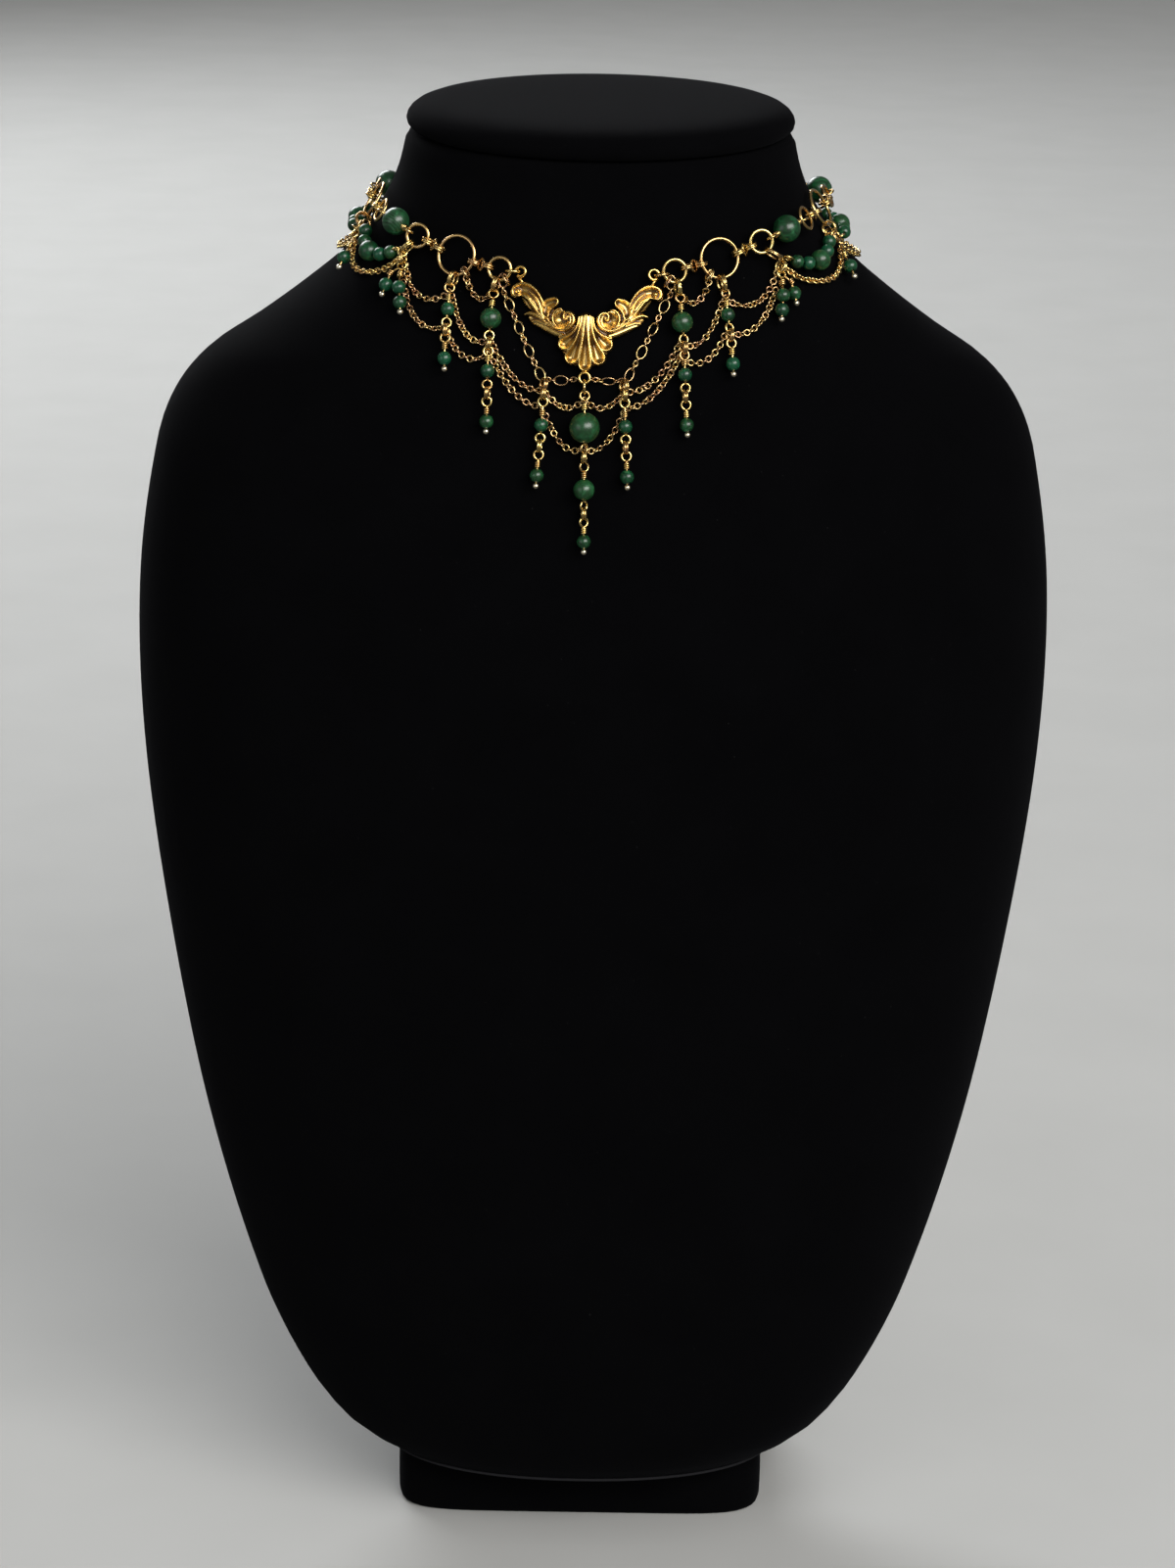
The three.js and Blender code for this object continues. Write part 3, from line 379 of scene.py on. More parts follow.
class Work:
    """Parts gathered for one piece, each with a tone of its own."""

    def __init__(self):
        self.points, self.faces, self.tones, self.count = [], [], [], 0

    def add(self, part, matrix=None, tone=None):
        points, faces = part if matrix is None else carried(part, matrix)
        self.points.append(points)
        self.faces += [tuple(i + self.count for i in face) for face in faces]
        tone = CHANCE.uniform(-0.5, 0.5) if tone is None else tone
        self.tones.append(np.full(len(points), tone))
        self.count += len(points)
        return self

    def part(self):
        """The gathered parts as one."""
        return np.concatenate(self.points), self.faces

    def piece(self, name, material, slot, *nodes, **stored):
        """The gathered parts as one object that rides on the body and stands for these nodes."""
        mesh = bpy.data.meshes.new(name)
        points, faces = self.part()
        mesh.from_pydata(points.tolist(), [], faces)
        for key, values in {"tone": np.concatenate(self.tones), **stored}.items():
            attribute = mesh.attributes.new(key, "FLOAT", "POINT")
            attribute.data.foreach_set("value", values.astype(np.float32))
        mesh.shade_smooth()
        mesh.materials.append(material)
        made = shown(name, mesh)
        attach(made, "root")
        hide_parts(*nodes)

    def dress(self, node, ending, material=GOLD_WIRE, slot="gold"):
        """The piece for one node, named after it."""
        self.piece(f"{node}_{ending}", material, slot, node)


def skin(rings, closed=False):
    """Faces over rings of points of one length, closed at the ends or round on itself."""
    rings = np.asarray(rings)
    rows, count = rings.shape[:2]
    faces = []
    for row in range(rows if closed else rows - 1):
        below, above = row * count, (row + 1) % rows * count
        faces += [(below + i, below + (i + 1) % count, above + (i + 1) % count, above + i)
                  for i in range(count)]
    if not closed:
        faces += [tuple(range(count))[::-1], tuple((rows - 1) * count + i for i in range(count))]
    return rings.reshape(-1, 3), faces


def loft(rows, columns, point):
    """A closed solid with one ring for each row, from point(turn in degrees, *row)."""
    return skin([[point(360 * i / columns, *row) for i in range(columns)] for row in rows])


def wire(line, thick, sides=8, closed=False):
    """A round wire along a line of points, with its two ends domed."""
    line = np.asarray(line, float)
    if closed:
        along = np.roll(line, -1, axis=0) - np.roll(line, 1, axis=0)
    else:
        along = np.gradient(line, axis=0)
    along /= np.linalg.norm(along, axis=1, keepdims=True)
    around = np.arange(sides) * 2 * math.pi / sides
    across = unit(np.cross(along[0], (0.36, 0.48, 0.80)))
    rings = []
    for i, (point, heading) in enumerate(zip(line, along)):
        if i:
            # carry the last cross direction on without twist, by two reflections
            step = point - line[i - 1]
            across = across - 2 * step.dot(across) / step.dot(step) * step
            old = along[i - 1] - 2 * step.dot(along[i - 1]) / step.dot(step) * step
            bend = heading - old
            if bend.dot(bend) > 1e-12:
                across = across - 2 * bend.dot(across) / bend.dot(bend) * bend
        other = np.cross(heading, across)
        rings.append(np.outer(np.cos(around), across) + np.outer(np.sin(around), other))
    radius = thick / 2
    rings = np.array(rings)
    body = line[:, None] + radius * rings
    if not closed:
        head = line[0] - 0.5 * radius * along[0] + 0.62 * radius * rings[0]
        foot = line[-1] + 0.5 * radius * along[-1] + 0.62 * radius * rings[-1]
        body = np.concatenate([[head], body, [foot]])
    return skin(body, closed)


def arc(radius, start, end, steps):
    """Points on a circle in the XY plane, from one angle to another in degrees."""
    turns = np.radians(np.linspace(start, end, steps))
    return np.stack([radius * np.cos(turns), radius * np.sin(turns), 0 * turns], axis=1)


def ring(radius, thick, around=28, sides=10):
    return wire(arc(radius, 0, 360 - 360 / around, around), thick, sides, closed=True)


def split_ring(radius, thick, at=90):
    """A jump ring: a cut wire whose two ends meet."""
    return wire(arc(radius, at + 1.2, at + 358.8, 26), thick, 8)


def chain_link(length, width, thick, around=16, sides=6):
    """A closed link along X."""
    line = arc((length - thick) / 2, 0, 360 - 360 / around, around)
    line[:, 1] *= (width - thick) / (length - thick)
    return wire(line, thick, sides, closed=True)


def coil(radius, length, turns, thick):
    """Wire wound round the Z axis."""
    steps = int(turns * 12) + 1
    t = np.linspace(0, 1, steps)
    angle = 2 * math.pi * turns * t
    line = np.stack([radius * np.cos(angle), radius * np.sin(angle), length * (t - 0.5)], axis=1)
    return wire(line, thick, 6)


def round_profile(radius, start, steps):
    """Radius and height down a ball's side, between two small circles this far from its poles."""
    return [(radius * math.sin(a), -radius * math.cos(a)) for a in np.linspace(start, math.pi - start, steps)]


def lathe(profile, around):
    """Rings of points: a profile of radius and height turned round the Z axis."""
    turns = np.arange(around) * 2 * math.pi / around
    return [np.stack([r * np.cos(turns), r * np.sin(turns), z + 0 * turns], axis=1) for r, z in profile]


def bead(size, around):
    """A round bead with its bore along Z and softly broken bore edges."""
    radius, bore, bevel, mouth = size / 2, 0.42 * MM, 0.16 * MM, 0.3 * MM
    profile = round_profile(radius, math.asin((bore + bevel) / radius), 19)
    lip = profile[-1][1] - 0.12 * MM
    profile = [(bore, mouth - lip), (bore, -lip), *profile, (bore, lip), (bore, lip - mouth)]
    return skin(lathe(profile, around), closed=True)


def ball(size):
    """The ball of a head pin."""
    return skin(lathe(round_profile(size / 2, 0.12, 11), 18))


# ---- the bust's surface ----

def between(table, x):
    """The row of a table at x, its first column, on a smooth curve through the rows."""
    at, last = table[:, 0], len(table) - 1
    x = min(max(x, at[0]), at[last])
    i = min(max(int(np.searchsorted(at, x, "right")) - 1, 0), last - 1)

    def slope(k):
        low, high = max(k - 1, 0), min(k + 1, last)
        return (table[high] - table[low]) / (at[high] - at[low])

    step = at[i + 1] - at[i]
    t = (x - at[i]) / step
    rise = t * t * (3 - 2 * t)
    lean = (1 - t) * slope(i) - t * slope(i + 1)
    return (1 - rise) * table[i] + rise * table[i + 1] + t * (1 - t) * step * lean


def bust_point(turn, z):
    """The section's point at height z in the direction turn: 0 is the front and 90 is +X."""
    half, mid, front, back, square = between(SECTIONS, z)[1:]
    sin, cos = math.sin(math.radians(turn)), math.cos(math.radians(turn))
    depth = front if cos >= 0 else back
    reach = (abs(sin / half) ** square + abs(cos / depth) ** square) ** (-1 / square)
    return np.array([reach * sin, mid - reach * cos, z])


def place(v, z, lift):
    """A place off the velvet, as a frame whose axes point sideways, up and outward."""
    turn = v - SLIP * math.cos(math.radians(v))
    side = unit(bust_point(turn + 0.5, z) - bust_point(turn - 0.5, z))
    rise = bust_point(turn, z + 0.5 * MM) - bust_point(turn, z - 0.5 * MM)
    out = unit(np.cross(side, rise))
    return frame_of(bust_point(turn, z) + lift * out, side, np.cross(out, side))


def smooth_step(x, low, high):
    t = min(max((x - low) / (high - low), 0), 1)
    return t * t * (3 - 2 * t)


def row_place(hand, v, lift):
    """A place on the top row's line, which leaves the ornament level."""
    z = between(ROW_LINE, v)[1] + hand * ROW_TILT * smooth_step(v, 24, 34)
    return place(hand * v, z, lift)


# ---- bust, cap and base ----

def bust_velvet():
    """The velvet-covered form, closed at the foot and rolled in a little under the cap."""
    low, high = SECTIONS[0, 0], SECTIONS[-1, 0]
    shoulder = 350 * MM
    heights = [*np.arange(low, shoulder, 5 * MM), *np.arange(shoulder, high - 2 * MM, 2.5 * MM)]
    rows = [(low, 0.6, low - 0.2 * MM), (low, 0.955, low), (low, 0.985, low + 0.3 * MM)]
    rows += [(z, 1.0, z) for z in heights[1:]]
    rows += [(high, 1.0, high - 2 * MM), (high, 0.992, high - 1.1 * MM), (high, 0.965, high - 0.4 * MM),
             (high, 0.9, high - 0.1 * MM), (high, 0.5, high)]

    def point(turn, section, share, z):
        x, y, _ = bust_point(turn, section) * share
        return x, y, z + NECK_TILT * smooth_step(z, TILT_FROM, high) * y

    Work().add(loft(rows, 144, point), tone=0).piece("bust_velvet", VELVET, "velvet", "bust_form")


def cap_velvet():
    """The pillowed cap: its sides bulge, its top sinks a little to a soft plateau."""
    low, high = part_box("neck_cap")
    half, depth = (high.x - low.x) / 2, (high.y - low.y) / 2
    foot, thick = SECTIONS[-1, 0] + 0.3 * MM, 8.5 * MM
    edge = [(9, -0.02), (3.6, 0), (2.1, 0.03), (1.1, 0.09), (0.3, 0.2), (0, 0.34), (0.3, 0.48),
            (1.2, 0.63), (2.8, 0.77), (5, 0.87), (8, 0.935), (12, 0.97), (17, 0.985), (24, 1), (32, 1)]

    def point(turn, inset, rise):
        turn = math.radians(turn)
        x, y = (half - inset * MM) * math.sin(turn), -(depth - inset * MM) * math.cos(turn)
        return x, y, foot + NECK_TILT * y + thick * rise

    Work().add(loft(edge, 120, point), tone=0).piece("cap_velvet", VELVET, "velvet", "neck_cap")


def base_velvet():
    """The covered foot block, its corners and edges rounded by the cloth."""
    low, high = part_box("base_block")
    middle, size = (low + high) / 2, (high - low) / 2
    edge = [(14, 0), (2.4, 0), (1.1, 0.25), (0.4, 0.9), (0.1, 2), (0, 6), (0, 11), (0.15, 16),
            (0.5, 19.6), (1.2, 21), (2.6, 21.6), (14, 21.7)]
    columns, corner = 144, 7

    def point(turn, inset, z):
        turn = math.radians(turn + 180 / columns)
        sin, cos = math.sin(turn), math.cos(turn)
        across, along = abs(sin / (size.x - inset * MM)), abs(cos / (size.y - inset * MM))
        scale = (across ** corner + along ** corner) ** (-1 / corner)
        return middle.x + scale * sin, middle.y - scale * cos, z * MM

    Work().add(loft(edge, columns, point), tone=0).piece("base_velvet", VELVET, "velvet", "base_block")


def bust_foot_welt():
    """A paler edge where the bust's cloth is turned in at its foot."""
    line = [bust_point(turn, SECTIONS[0, 0]) * (0.99, 0.99, 1) + (0, 0, 0.15 * MM)
            for turn in range(0, 360, 2)]
    Work().add(wire(line, 0.9 * MM, 6, closed=True), tone=0).piece(
        "bust_foot_welt", VELVET_EDGE, "velvet", "bust_form")


# ---- centre ornament ----

ORNAMENT_Z, BELOW, ABOVE = 382.3 * MM, 12 * MM, 15 * MM  # its middle, and how far its two rests are
ORNAMENT_LIFT, BEND = 0.9 * MM, 120 * MM
ORNAMENT_EYE = 1.5 * MM
EYE_RISE = 1.9 * MM
TOP_EYE, TOP_EYE_RADIUS = (19 * MM, 17.2 * MM), 1.42 * MM
FOOT_EYE = (0, -12.6 * MM)

# Elements of the right half of the relief, in the order they are struck: rise, and a path of x, y and
# half width in millimetres. An element is a rounded rib that rises above what is there. One with a
# depth and the width of its rim is a hollow channel inside a rounded rim.
GROUND = [
    (0.55, [(0, 4.3, 1.7), (0, 1, 2.1), (0, -3, 3.4), (0, -6.4, 3.2)]),
    (0.55, [(3.8, 0.6, 1.3), (6.6, 2.6, 3), (9.6, 4.2, 2.5), (12.4, 4.8, 1.6), (13.6, 7.4, 1.6),
            (15, 10.4, 1.8), (17.6, 12.1, 1.7), (19.8, 11.7, 1.8)]),
    (0.6, [(11.4, 2.8, 1.4), (13.6, 3.9, 1.5), (15.4, 4.5, 1.1)]),
    (0.6, [(13.4, 6.2, 1.4), (15.4, 8.2, 1.6), (17, 10.2, 1.5)]),
    (1, [(2.2, -7.6, 1.7)]),
    (1, [(4.8, -4.8, 1.8)]),
    (0.6, [(6.4, -1.6, 1.4)]),
]
RELIEF = [
    # shell: the upper side flute, the lower one, and the long middle one
    (1.6, [(1.75, 4.4, 0.16), (2, 2.2, 0.3), (2.9, 0.1, 0.6), (4.3, -1.7, 1.1),
           (5.8, -3, 1.65)], 1.35, 0.62),
    (1.85, [(1.05, 4.7, 0.16), (1.35, 1.6, 0.32), (2, -2, 0.68), (2.95, -4.7, 1.2),
            (3.8, -6.8, 1.72)], 1.45, 0.62),
    (2.1, [(0, 4.9, 0.24), (0, 0.5, 0.5), (0, -4, 1), (0, -7.4, 1.5), (0, -8.8, 1.6)], 1.5, 0.58),
    (1.8, [(0.62, 4.9, 0.3), (0.8, 1.5, 0.34), (1.2, -2, 0.36), (1.75, -5.4, 0.34)]),
    (1.75, [(1.42, 4.8, 0.3), (1.75, 1.6, 0.36), (2.55, -1.2, 0.38), (3.7, -3.6, 0.36)]),
    (1.8, [(2.1, 4.7, 0.26), (2.3, 2.8, 0.38), (3.05, 0.9, 0.46), (4.5, -0.4, 0.5), (6.1, -1, 0.52),
           (7.4, -1.4, 0.5)]),
    # lower band from the shell out to the lowest leaf
    (1.3, [(6.6, -0.6, 0.7), (8.4, -0.1, 0.95), (10.4, 0.8, 0.95), (12.8, 1.9, 0.75), (15, 2.7, 0.35)]),
    # volute: its dish, the near rib that rolls into the curl, and the far rib
    (1.55, [(6.9, 3.8, 2.45)], 1.45, 0.3),
    (2, [(12.6, 4.4, 0.28), (11, 2.6, 0.45), (8.9, 1.3, 0.54), (6.8, 0.85, 0.58), (4.9, 1.4, 0.62),
         (3.75, 2.8, 0.74), (3.6, 4.4, 0.78), (4.4, 5.6, 0.72), (5.7, 5.8, 0.62), (6.4, 4.9, 0.56),
         (6.1, 4, 0.46), (5.4, 3.9, 0.34)]),
    (1.9, [(5.4, 4.5, 0.72)]),
    (1.9, [(8.5, 2, 0.3), (9.4, 3.3, 0.46), (9.45, 4.9, 0.54), (8.75, 6.2, 0.54), (7.7, 6.8, 0.46),
           (6.9, 6.7, 0.28)]),
    # upper lobe with its fold, and the stem below it
    (1.9, [(11.4, 4.7, 0.5), (11.6, 6.2, 1.05), (10.9, 7.9, 1.4), (9.3, 8.8, 1.05)], 1.2, 0.5),
    (1.7, [(8.3, 7.8, 0.28), (9.6, 7.4, 0.42), (10.5, 6.5, 0.3)]),
    (1.75, [(11.1, 4.8, 0.36), (10.8, 3.6, 0.52), (9.8, 2.6, 0.46), (8.6, 1.9, 0.26)]),
    # arm: its trough, then the leaf's ribs
    (1.65, [(13.3, 7.6, 0.8), (14.4, 10, 1.3), (16.2, 11.6, 1.55), (18.2, 12.1, 1.55),
            (19.6, 11.8, 1.4)], 1.15, 0.45),
    (1.85, [(12.3, 4.2, 0.4), (12.9, 6.1, 0.6), (13.5, 8.3, 0.7), (14.8, 10.2, 0.66), (16.4, 11.6, 0.3)]),
    (1.75, [(12.2, 3.9, 0.4), (14.2, 6.3, 0.66), (15.6, 8.2, 0.76), (16.6, 9.4, 0.66), (17.6, 10, 0.34)]),
    (1.65, [(11.4, 2.9, 0.38), (13.2, 4.2, 0.64), (15, 5.2, 0.72), (16.5, 5.4, 0.62), (17.5, 5.1, 0.38)]),
    (1.6, [(10.2, 1.7, 0.38), (12.4, 2.6, 0.6), (14.1, 3.2, 0.66), (15.5, 3.1, 0.38)]),
    # the arm's top rib rolls over into its own curl
    (2, [(12.1, 7.4, 0.32), (12.7, 9.2, 0.48), (13.8, 11.1, 0.58), (15.3, 12.7, 0.62), (17, 13.7, 0.64),
         (18.8, 13.8, 0.66), (20.4, 13.2, 0.7), (21.2, 12, 0.74), (21, 10.8, 0.7), (20.2, 10.3, 0.56),
         (19.2, 10.4, 0.34)]),
    (2.1, [(19.6, 11.6, 1.05)]),
]
RELIEF_STEP = 0.13 * MM
SHEET = 0.55 * MM  # wall of the stamping, and the height of its cut edge
SWELL, SWELL_REACH = 0.9 * MM, 9 * MM  # the whole shell stands up a little in the middle


def spline(points, steps=10):
    """A smooth line through points, carrying all their columns."""
    points = np.asarray(points, float)
    if len(points) == 1:
        return points
    ends = np.concatenate([[2 * points[0] - points[1]], points, [2 * points[-1] - points[-2]]])
    line = []
    for a, b, c, d in zip(ends, ends[1:], ends[2:], ends[3:]):
        for t in np.arange(steps) / steps:
            line.append(0.5 * (2 * b + (c - a) * t + (2 * a - 5 * b + 4 * c - d) * t * t
                               + (3 * b - a - 3 * c + d) * t ** 3))
    return np.array([*line, points[-1]])


def stroke(x, y, path):
    """Distance of every grid point to a path, and the path's half width there."""
    line = spline(np.array(path) * MM)
    nearest, wide = np.full(x.shape, 1.0), np.full(x.shape, 1.0)
    best = np.full(x.shape, 1.0)
    for a, b in zip(line, line[1:] if len(line) > 1 else line):
        run = b[:2] - a[:2]
        t = ((x - a[0]) * run[0] + (y - a[1]) * run[1]) / max(run.dot(run), 1e-18)
        t = np.clip(t, 0, 1)
        away = np.hypot(x - a[0] - t * run[0], y - a[1] - t * run[1])
        half = a[2] + t * (b[2] - a[2])
        closer = away - half < best
        best = np.where(closer, away - half, best)
        nearest, wide = np.where(closer, away, nearest), np.where(closer, half, wide)
    return nearest, wide


def rounded(share):
    """A half-round profile: 1 in the middle, 0 at share 1 and beyond."""
    return np.sqrt(np.clip(1 - share * share, 0, 1))


def relief(x, y):
    """Height of the struck relief over the grid, and how far inside its outline each point lies."""
    height, inside = np.zeros(x.shape), np.full(x.shape, -1.0)
    for rise, path in GROUND:
        away, half = stroke(x, y, path)
        height = np.maximum(height, rise * MM * rounded(away / half) ** 0.6)
        inside = np.maximum(inside, half - away)
    for rise, path, *channel in RELIEF:
        away, half = stroke(x, y, path)
        depth, rim = channel or (0, 0)
        if channel:
            shallow = np.minimum(half / (0.9 * MM), 1)  # where a channel runs out to a point
            hollow = (rise - depth * (1 - (away / half) ** 2) * shallow) * MM
            edge = rise * MM * rounded((away - half) / (rim * MM))
            height = np.where(away < half, hollow, np.maximum(height, edge))
        else:
            height = np.maximum(height, rise * MM * rounded(away / half))
        inside = np.maximum(inside, half + rim * MM - away)
    return height, inside


def blurred(field, cells):
    """A field averaged over a square of this many cells each way."""
    for axis in (0, 1):
        padded = np.pad(field, [(cells, cells) if a == axis else (0, 0) for a in (0, 1)], "edge")
        field = sum(np.roll(padded, k, axis) for k in range(-cells, cells + 1)) / (2 * cells + 1)
        field = np.take(field, range(cells, field.shape[axis] - cells), axis)
    return field


def relief_solid():
    """The stamping, and how deep in a hollow each point lies, which sets its painted shade: its front, its
    back and its cut edge.
    """
    xs = np.arange(0, 22.6 * MM, RELIEF_STEP)
    ys = np.arange(-12.2 * MM, 15.6 * MM, RELIEF_STEP)
    x, y = np.meshgrid(xs, ys, indexing="ij")
    height, inside = relief(x, y)
    height = blurred(np.concatenate([height[1:2], height]), 1)[1:]
    height, inside = [np.concatenate([half[:0:-1], half]) for half in (height, inside)]
    x, y = np.concatenate([-x[:0:-1], x]), np.concatenate([y[:0:-1], y])
    swell = SWELL * np.exp(-(x / SWELL_REACH) ** 2 - ((y + 2 * MM) / SWELL_REACH) ** 2)
    front = SHEET + height + swell
    back = np.clip(np.minimum(blurred(front, 4) - 1.2 * SHEET, front - 0.8 * SHEET), 0, None)
    # painted shade, with some patina, darkens narrow creases, and more thinly wide bowls
    crease = np.clip((blurred(front, 5) - front) / (0.26 * MM), 0, 1)
    bowl = np.clip((blurred(front, 14) - front) / (0.8 * MM), 0, 1)
    hollow = np.maximum(crease, 0.3 * bowl)

    # bring the grid points next to the outline onto it
    slope_x, slope_y = np.gradient(inside, RELIEF_STEP)
    steep = np.maximum(slope_x ** 2 + slope_y ** 2, 0.25)
    near = np.abs(inside) < 0.5 * RELIEF_STEP * np.sqrt(steep)
    x = np.where(near, x - inside * slope_x / steep, x)
    y = np.where(near, y - inside * slope_y / steep, y)
    inside = np.where(near, 0, inside)

    columns = x.shape[1]
    number = np.arange(x.size).reshape(x.shape)
    flat = inside.ravel()
    triangles = []
    for i, j in zip(*np.nonzero(np.maximum(inside[:-1, :-1], inside[1:, 1:]) >= 0)):
        a = number[i, j]
        b, c, d = a + columns, a + columns + 1, a + 1
        if abs(flat[a]) + abs(flat[c]) <= abs(flat[b]) + abs(flat[d]):
            halves = (a, b, c), (a, c, d)
        else:
            halves = (a, b, d), (b, c, d)
        triangles += [half for half in halves
                      if min(flat[k] for k in half) >= 0 and max(flat[k] for k in half) > 0]
    triangles = np.array(triangles)
    used, renumbered = np.unique(triangles, return_inverse=True)
    triangles = renumbered.reshape(-1, 3)
    count = len(used)
    edges = np.concatenate([triangles[:, [0, 1]], triangles[:, [1, 2]], triangles[:, [2, 0]]])
    _, where, uses = np.unique(np.sort(edges, axis=1), axis=0, return_index=True, return_counts=True)
    rim = edges[where[uses == 1]]
    sides = np.stack([rim[:, 1], rim[:, 0], rim[:, 0] + count, rim[:, 1] + count], axis=1)
    faces = [tuple(face) for part in (triangles, triangles[:, ::-1] + count, sides)
             for face in part.tolist()]
    x, y, front, back, hollow = [field.ravel()[used] for field in (x, y, front, back, hollow)]
    points = [np.stack([x, y, z], axis=1) for z in (front, back)]
    # the back carries half-strength painted shade
    return (np.concatenate(points), faces), np.concatenate([hollow, 0.5 + 0 * hollow])


def resting_frame():
    """The ornament bridges the hollow of the throat: it rests on two heights of the velvet."""
    foot = place(0, ORNAMENT_Z - BELOW, ORNAMENT_LIFT)[:3, 3]
    head = place(0, ORNAMENT_Z + ABOVE, ORNAMENT_LIFT)[:3, 3]
    up = unit(head - foot)
    out = unit(np.cross(place(0, ORNAMENT_Z, 0)[:3, 0], up))
    return frame_of(foot + BELOW / up[2] * up, np.cross(up, out), up)


ORNAMENT_FRAME = resting_frame()


def on_ornament(x, y, z):
    """A point given on the flat ornament, after it is bent round the throat."""
    z = z - x * x / (2 * BEND)
    return ORNAMENT_FRAME[:3, :3] @ (x, y, z) + ORNAMENT_FRAME[:3, 3]


def ornament():
    """The stamping bent round the throat, with its two upper loops and its foot loop."""
    (points, faces), shade_and_patina_amounts = relief_solid()
    points = np.array([on_ornament(*p) for p in points])
    work = Work().add((points, faces), tone=0)
    stamped = len(points)

    def eye(x, y, *turns):
        return [on_ornament(x + p[0], y + p[1], EYE_RISE) for p in arc(*turns)]

    for hand in (-1, 1):
        x, y = hand * TOP_EYE[0], TOP_EYE[1]
        stem = on_ornament(x - hand * 0.9 * MM, y - 3.4 * MM, EYE_RISE - 0.6 * MM)
        loop = eye(x, y, TOP_EYE_RADIUS, 90 - 135 * hand, 90 - 435 * hand, 26)
        work.add(wire([stem, *loop], JUMP_WIRE, 10))
    work.add(wire(eye(*FOOT_EYE, ORNAMENT_EYE, 0, 345, 24), JUMP_WIRE, 10, closed=True))
    # painted shade with some patina on the stamping; the eyes carry none
    shade_and_patina_amounts = np.concatenate([shade_and_patina_amounts, np.zeros(work.count - stamped)])
    work.piece("ornament_relief", STAMPED_GOLD, "gold", "centre_ornament", hollow=shade_and_patina_amounts)


# ---- top row ----

HOOK_SLACK = JUMP_RING - JUMP_WIRE / 2 - RING_WIRE / 2 - PLAY
STONE_SLACK = STONE_EYE - JUMP_WIRE / 2 - RING_WIRE / 2 - PLAY
MEMBER_LENGTH = {  # by the first word of a member's name
    "jump": 2 * (START_RING - JUMP_WIRE / 2 - PLAY) - JUMP_WIRE / 2 - RING_WIRE / 2,
    "small": 2 * SMALL_RING,
    "large": 2 * LARGE_RING,
    "connector": CONNECTOR_SPREAD + 2 * HOOK_SLACK,
    "row": STONE_LENGTH + 2 * (STONE_COIL + STONE_EYE + STONE_SLACK),
}


def row_members(hand):
    """The members of one side's top row by name: each end is a member's length on from the last."""
    at = on_ornament(hand * (TOP_EYE[0] + ORNAMENT_EYE), TOP_EYE[1], EYE_RISE)

    def reach(v, lift):
        return np.linalg.norm(row_place(hand, v, lift)[:3, 3] - at)

    v = ROW_LINE[0, 0]
    while reach(v + 0.1, ROW_LIFT) < reach(v, ROW_LIFT):
        v += 0.1
    members = {}
    for name, lift in ROW:
        kind = name.split("_")[0]
        low, high = v, v + 30
        while high - low > 1e-5:
            tried = (low + high) / 2
            low, high = (tried, high) if reach(tried, lift) < MEMBER_LENGTH[kind] else (low, tried)
        v = high
        start, end = at, row_place(hand, v, lift)
        at = end[:3, 3]
        along = unit(at - start)
        across = unit(np.cross(end[:3, 2], along))
        here = frame_of((start + at) / 2, along, across)
        members[name] = dict(kind=kind, v=v, end=at, frame=here)
    return members


def pair_of_rings(radius=JUMP_RING, splay=7):
    """Two jump rings side by side, their holes along Y, a little splayed."""
    work, apart = Work(), 0.43 * MM
    for side in (-1, 1):
        lean = turned(side * CHANCE.uniform(0.3, 1) * splay, "X") @ turned(CHANCE.uniform(-6, 6), "Z")
        spin = turned(90, "X") @ turned(CHANCE.uniform(0, 360), "Z")
        work.add(split_ring(radius, JUMP_WIRE * 0.94), moved(0, side * apart, 0) @ lean @ spin)
    return work.part()


def connector():
    """Two pairs of jump rings joined by one that is turned across them."""
    work = Work()
    for side in (-1, 1):
        work.add(pair_of_rings(), moved(side * CONNECTOR_SPREAD / 2, 0, 0))
    joining = split_ring(1.62 * MM, JUMP_WIRE, 60)
    work.add(joining, turned(48, "Y") @ turned(CHANCE.uniform(-8, 8), "X"))
    return work.part()


def stone_link():
    """The wire through a large bead: an eye at each end, and a coil against each side of the bead."""
    stem, wound = STONE_LENGTH / 2 + STONE_COIL, 1.5 * MM
    eye_at = stem + STONE_EYE + 0.3 * MM
    work = Work().add(wire([(-stem, 0, 0), (0, 0, 0), (stem, 0, 0)], EYE_WIRE))
    for side in (-1, 1):
        at_bead = moved(side * (STONE_LENGTH + wound) / 2, 0, 0) @ turned(90, "Y")
        work.add(coil(0.66 * MM, wound, 2.6, EYE_WIRE), at_bead)
        gap = 90 + side * 90
        eye = wire(arc(STONE_EYE, gap + 12, gap + 350, 24), JUMP_WIRE * 0.9)
        work.add(eye, moved(side * eye_at, 0, 0) @ turned(90, "X"))
    return work.part()


ROW_BODIES = {
    "jump": lambda: carried(split_ring(START_RING, JUMP_WIRE), turned(90, "X")),
    "small": lambda: ring(SMALL_RING, RING_WIRE, 40, 12),
    "large": lambda: ring(LARGE_RING, RING_WIRE, 56, 12),
    "connector": connector,
    "row": stone_link,
}


def hang_from(middle, out, radius, turn):
    """A jump ring's place, hung round the wire of a ring, below or beside that ring's middle."""
    down = np.array([0, 0, -1.0])
    down = unit(down - down.dot(out) * out)
    down = np.array(Matrix.Rotation(math.radians(turn), 3, Vector(out)) @ Vector(down))
    return frame_of(middle + (radius + HOOK_SLACK) * down, down, np.cross(out, down))


def hook_frame(name, hand, turn, members):
    """The place of a jump ring on a ring of the top row, or on the ornament's foot eye."""
    if name == "foot_eye":
        return hang_from(on_ornament(*FOOT_EYE, EYE_RISE), ORNAMENT_FRAME[:3, 2], ORNAMENT_EYE, 0)
    radius = LARGE_RING if members[name]["kind"] == "large" else SMALL_RING
    here = members[name]["frame"]
    return hang_from(here[:3, 3], here[:3, 2], radius, hand * turn)


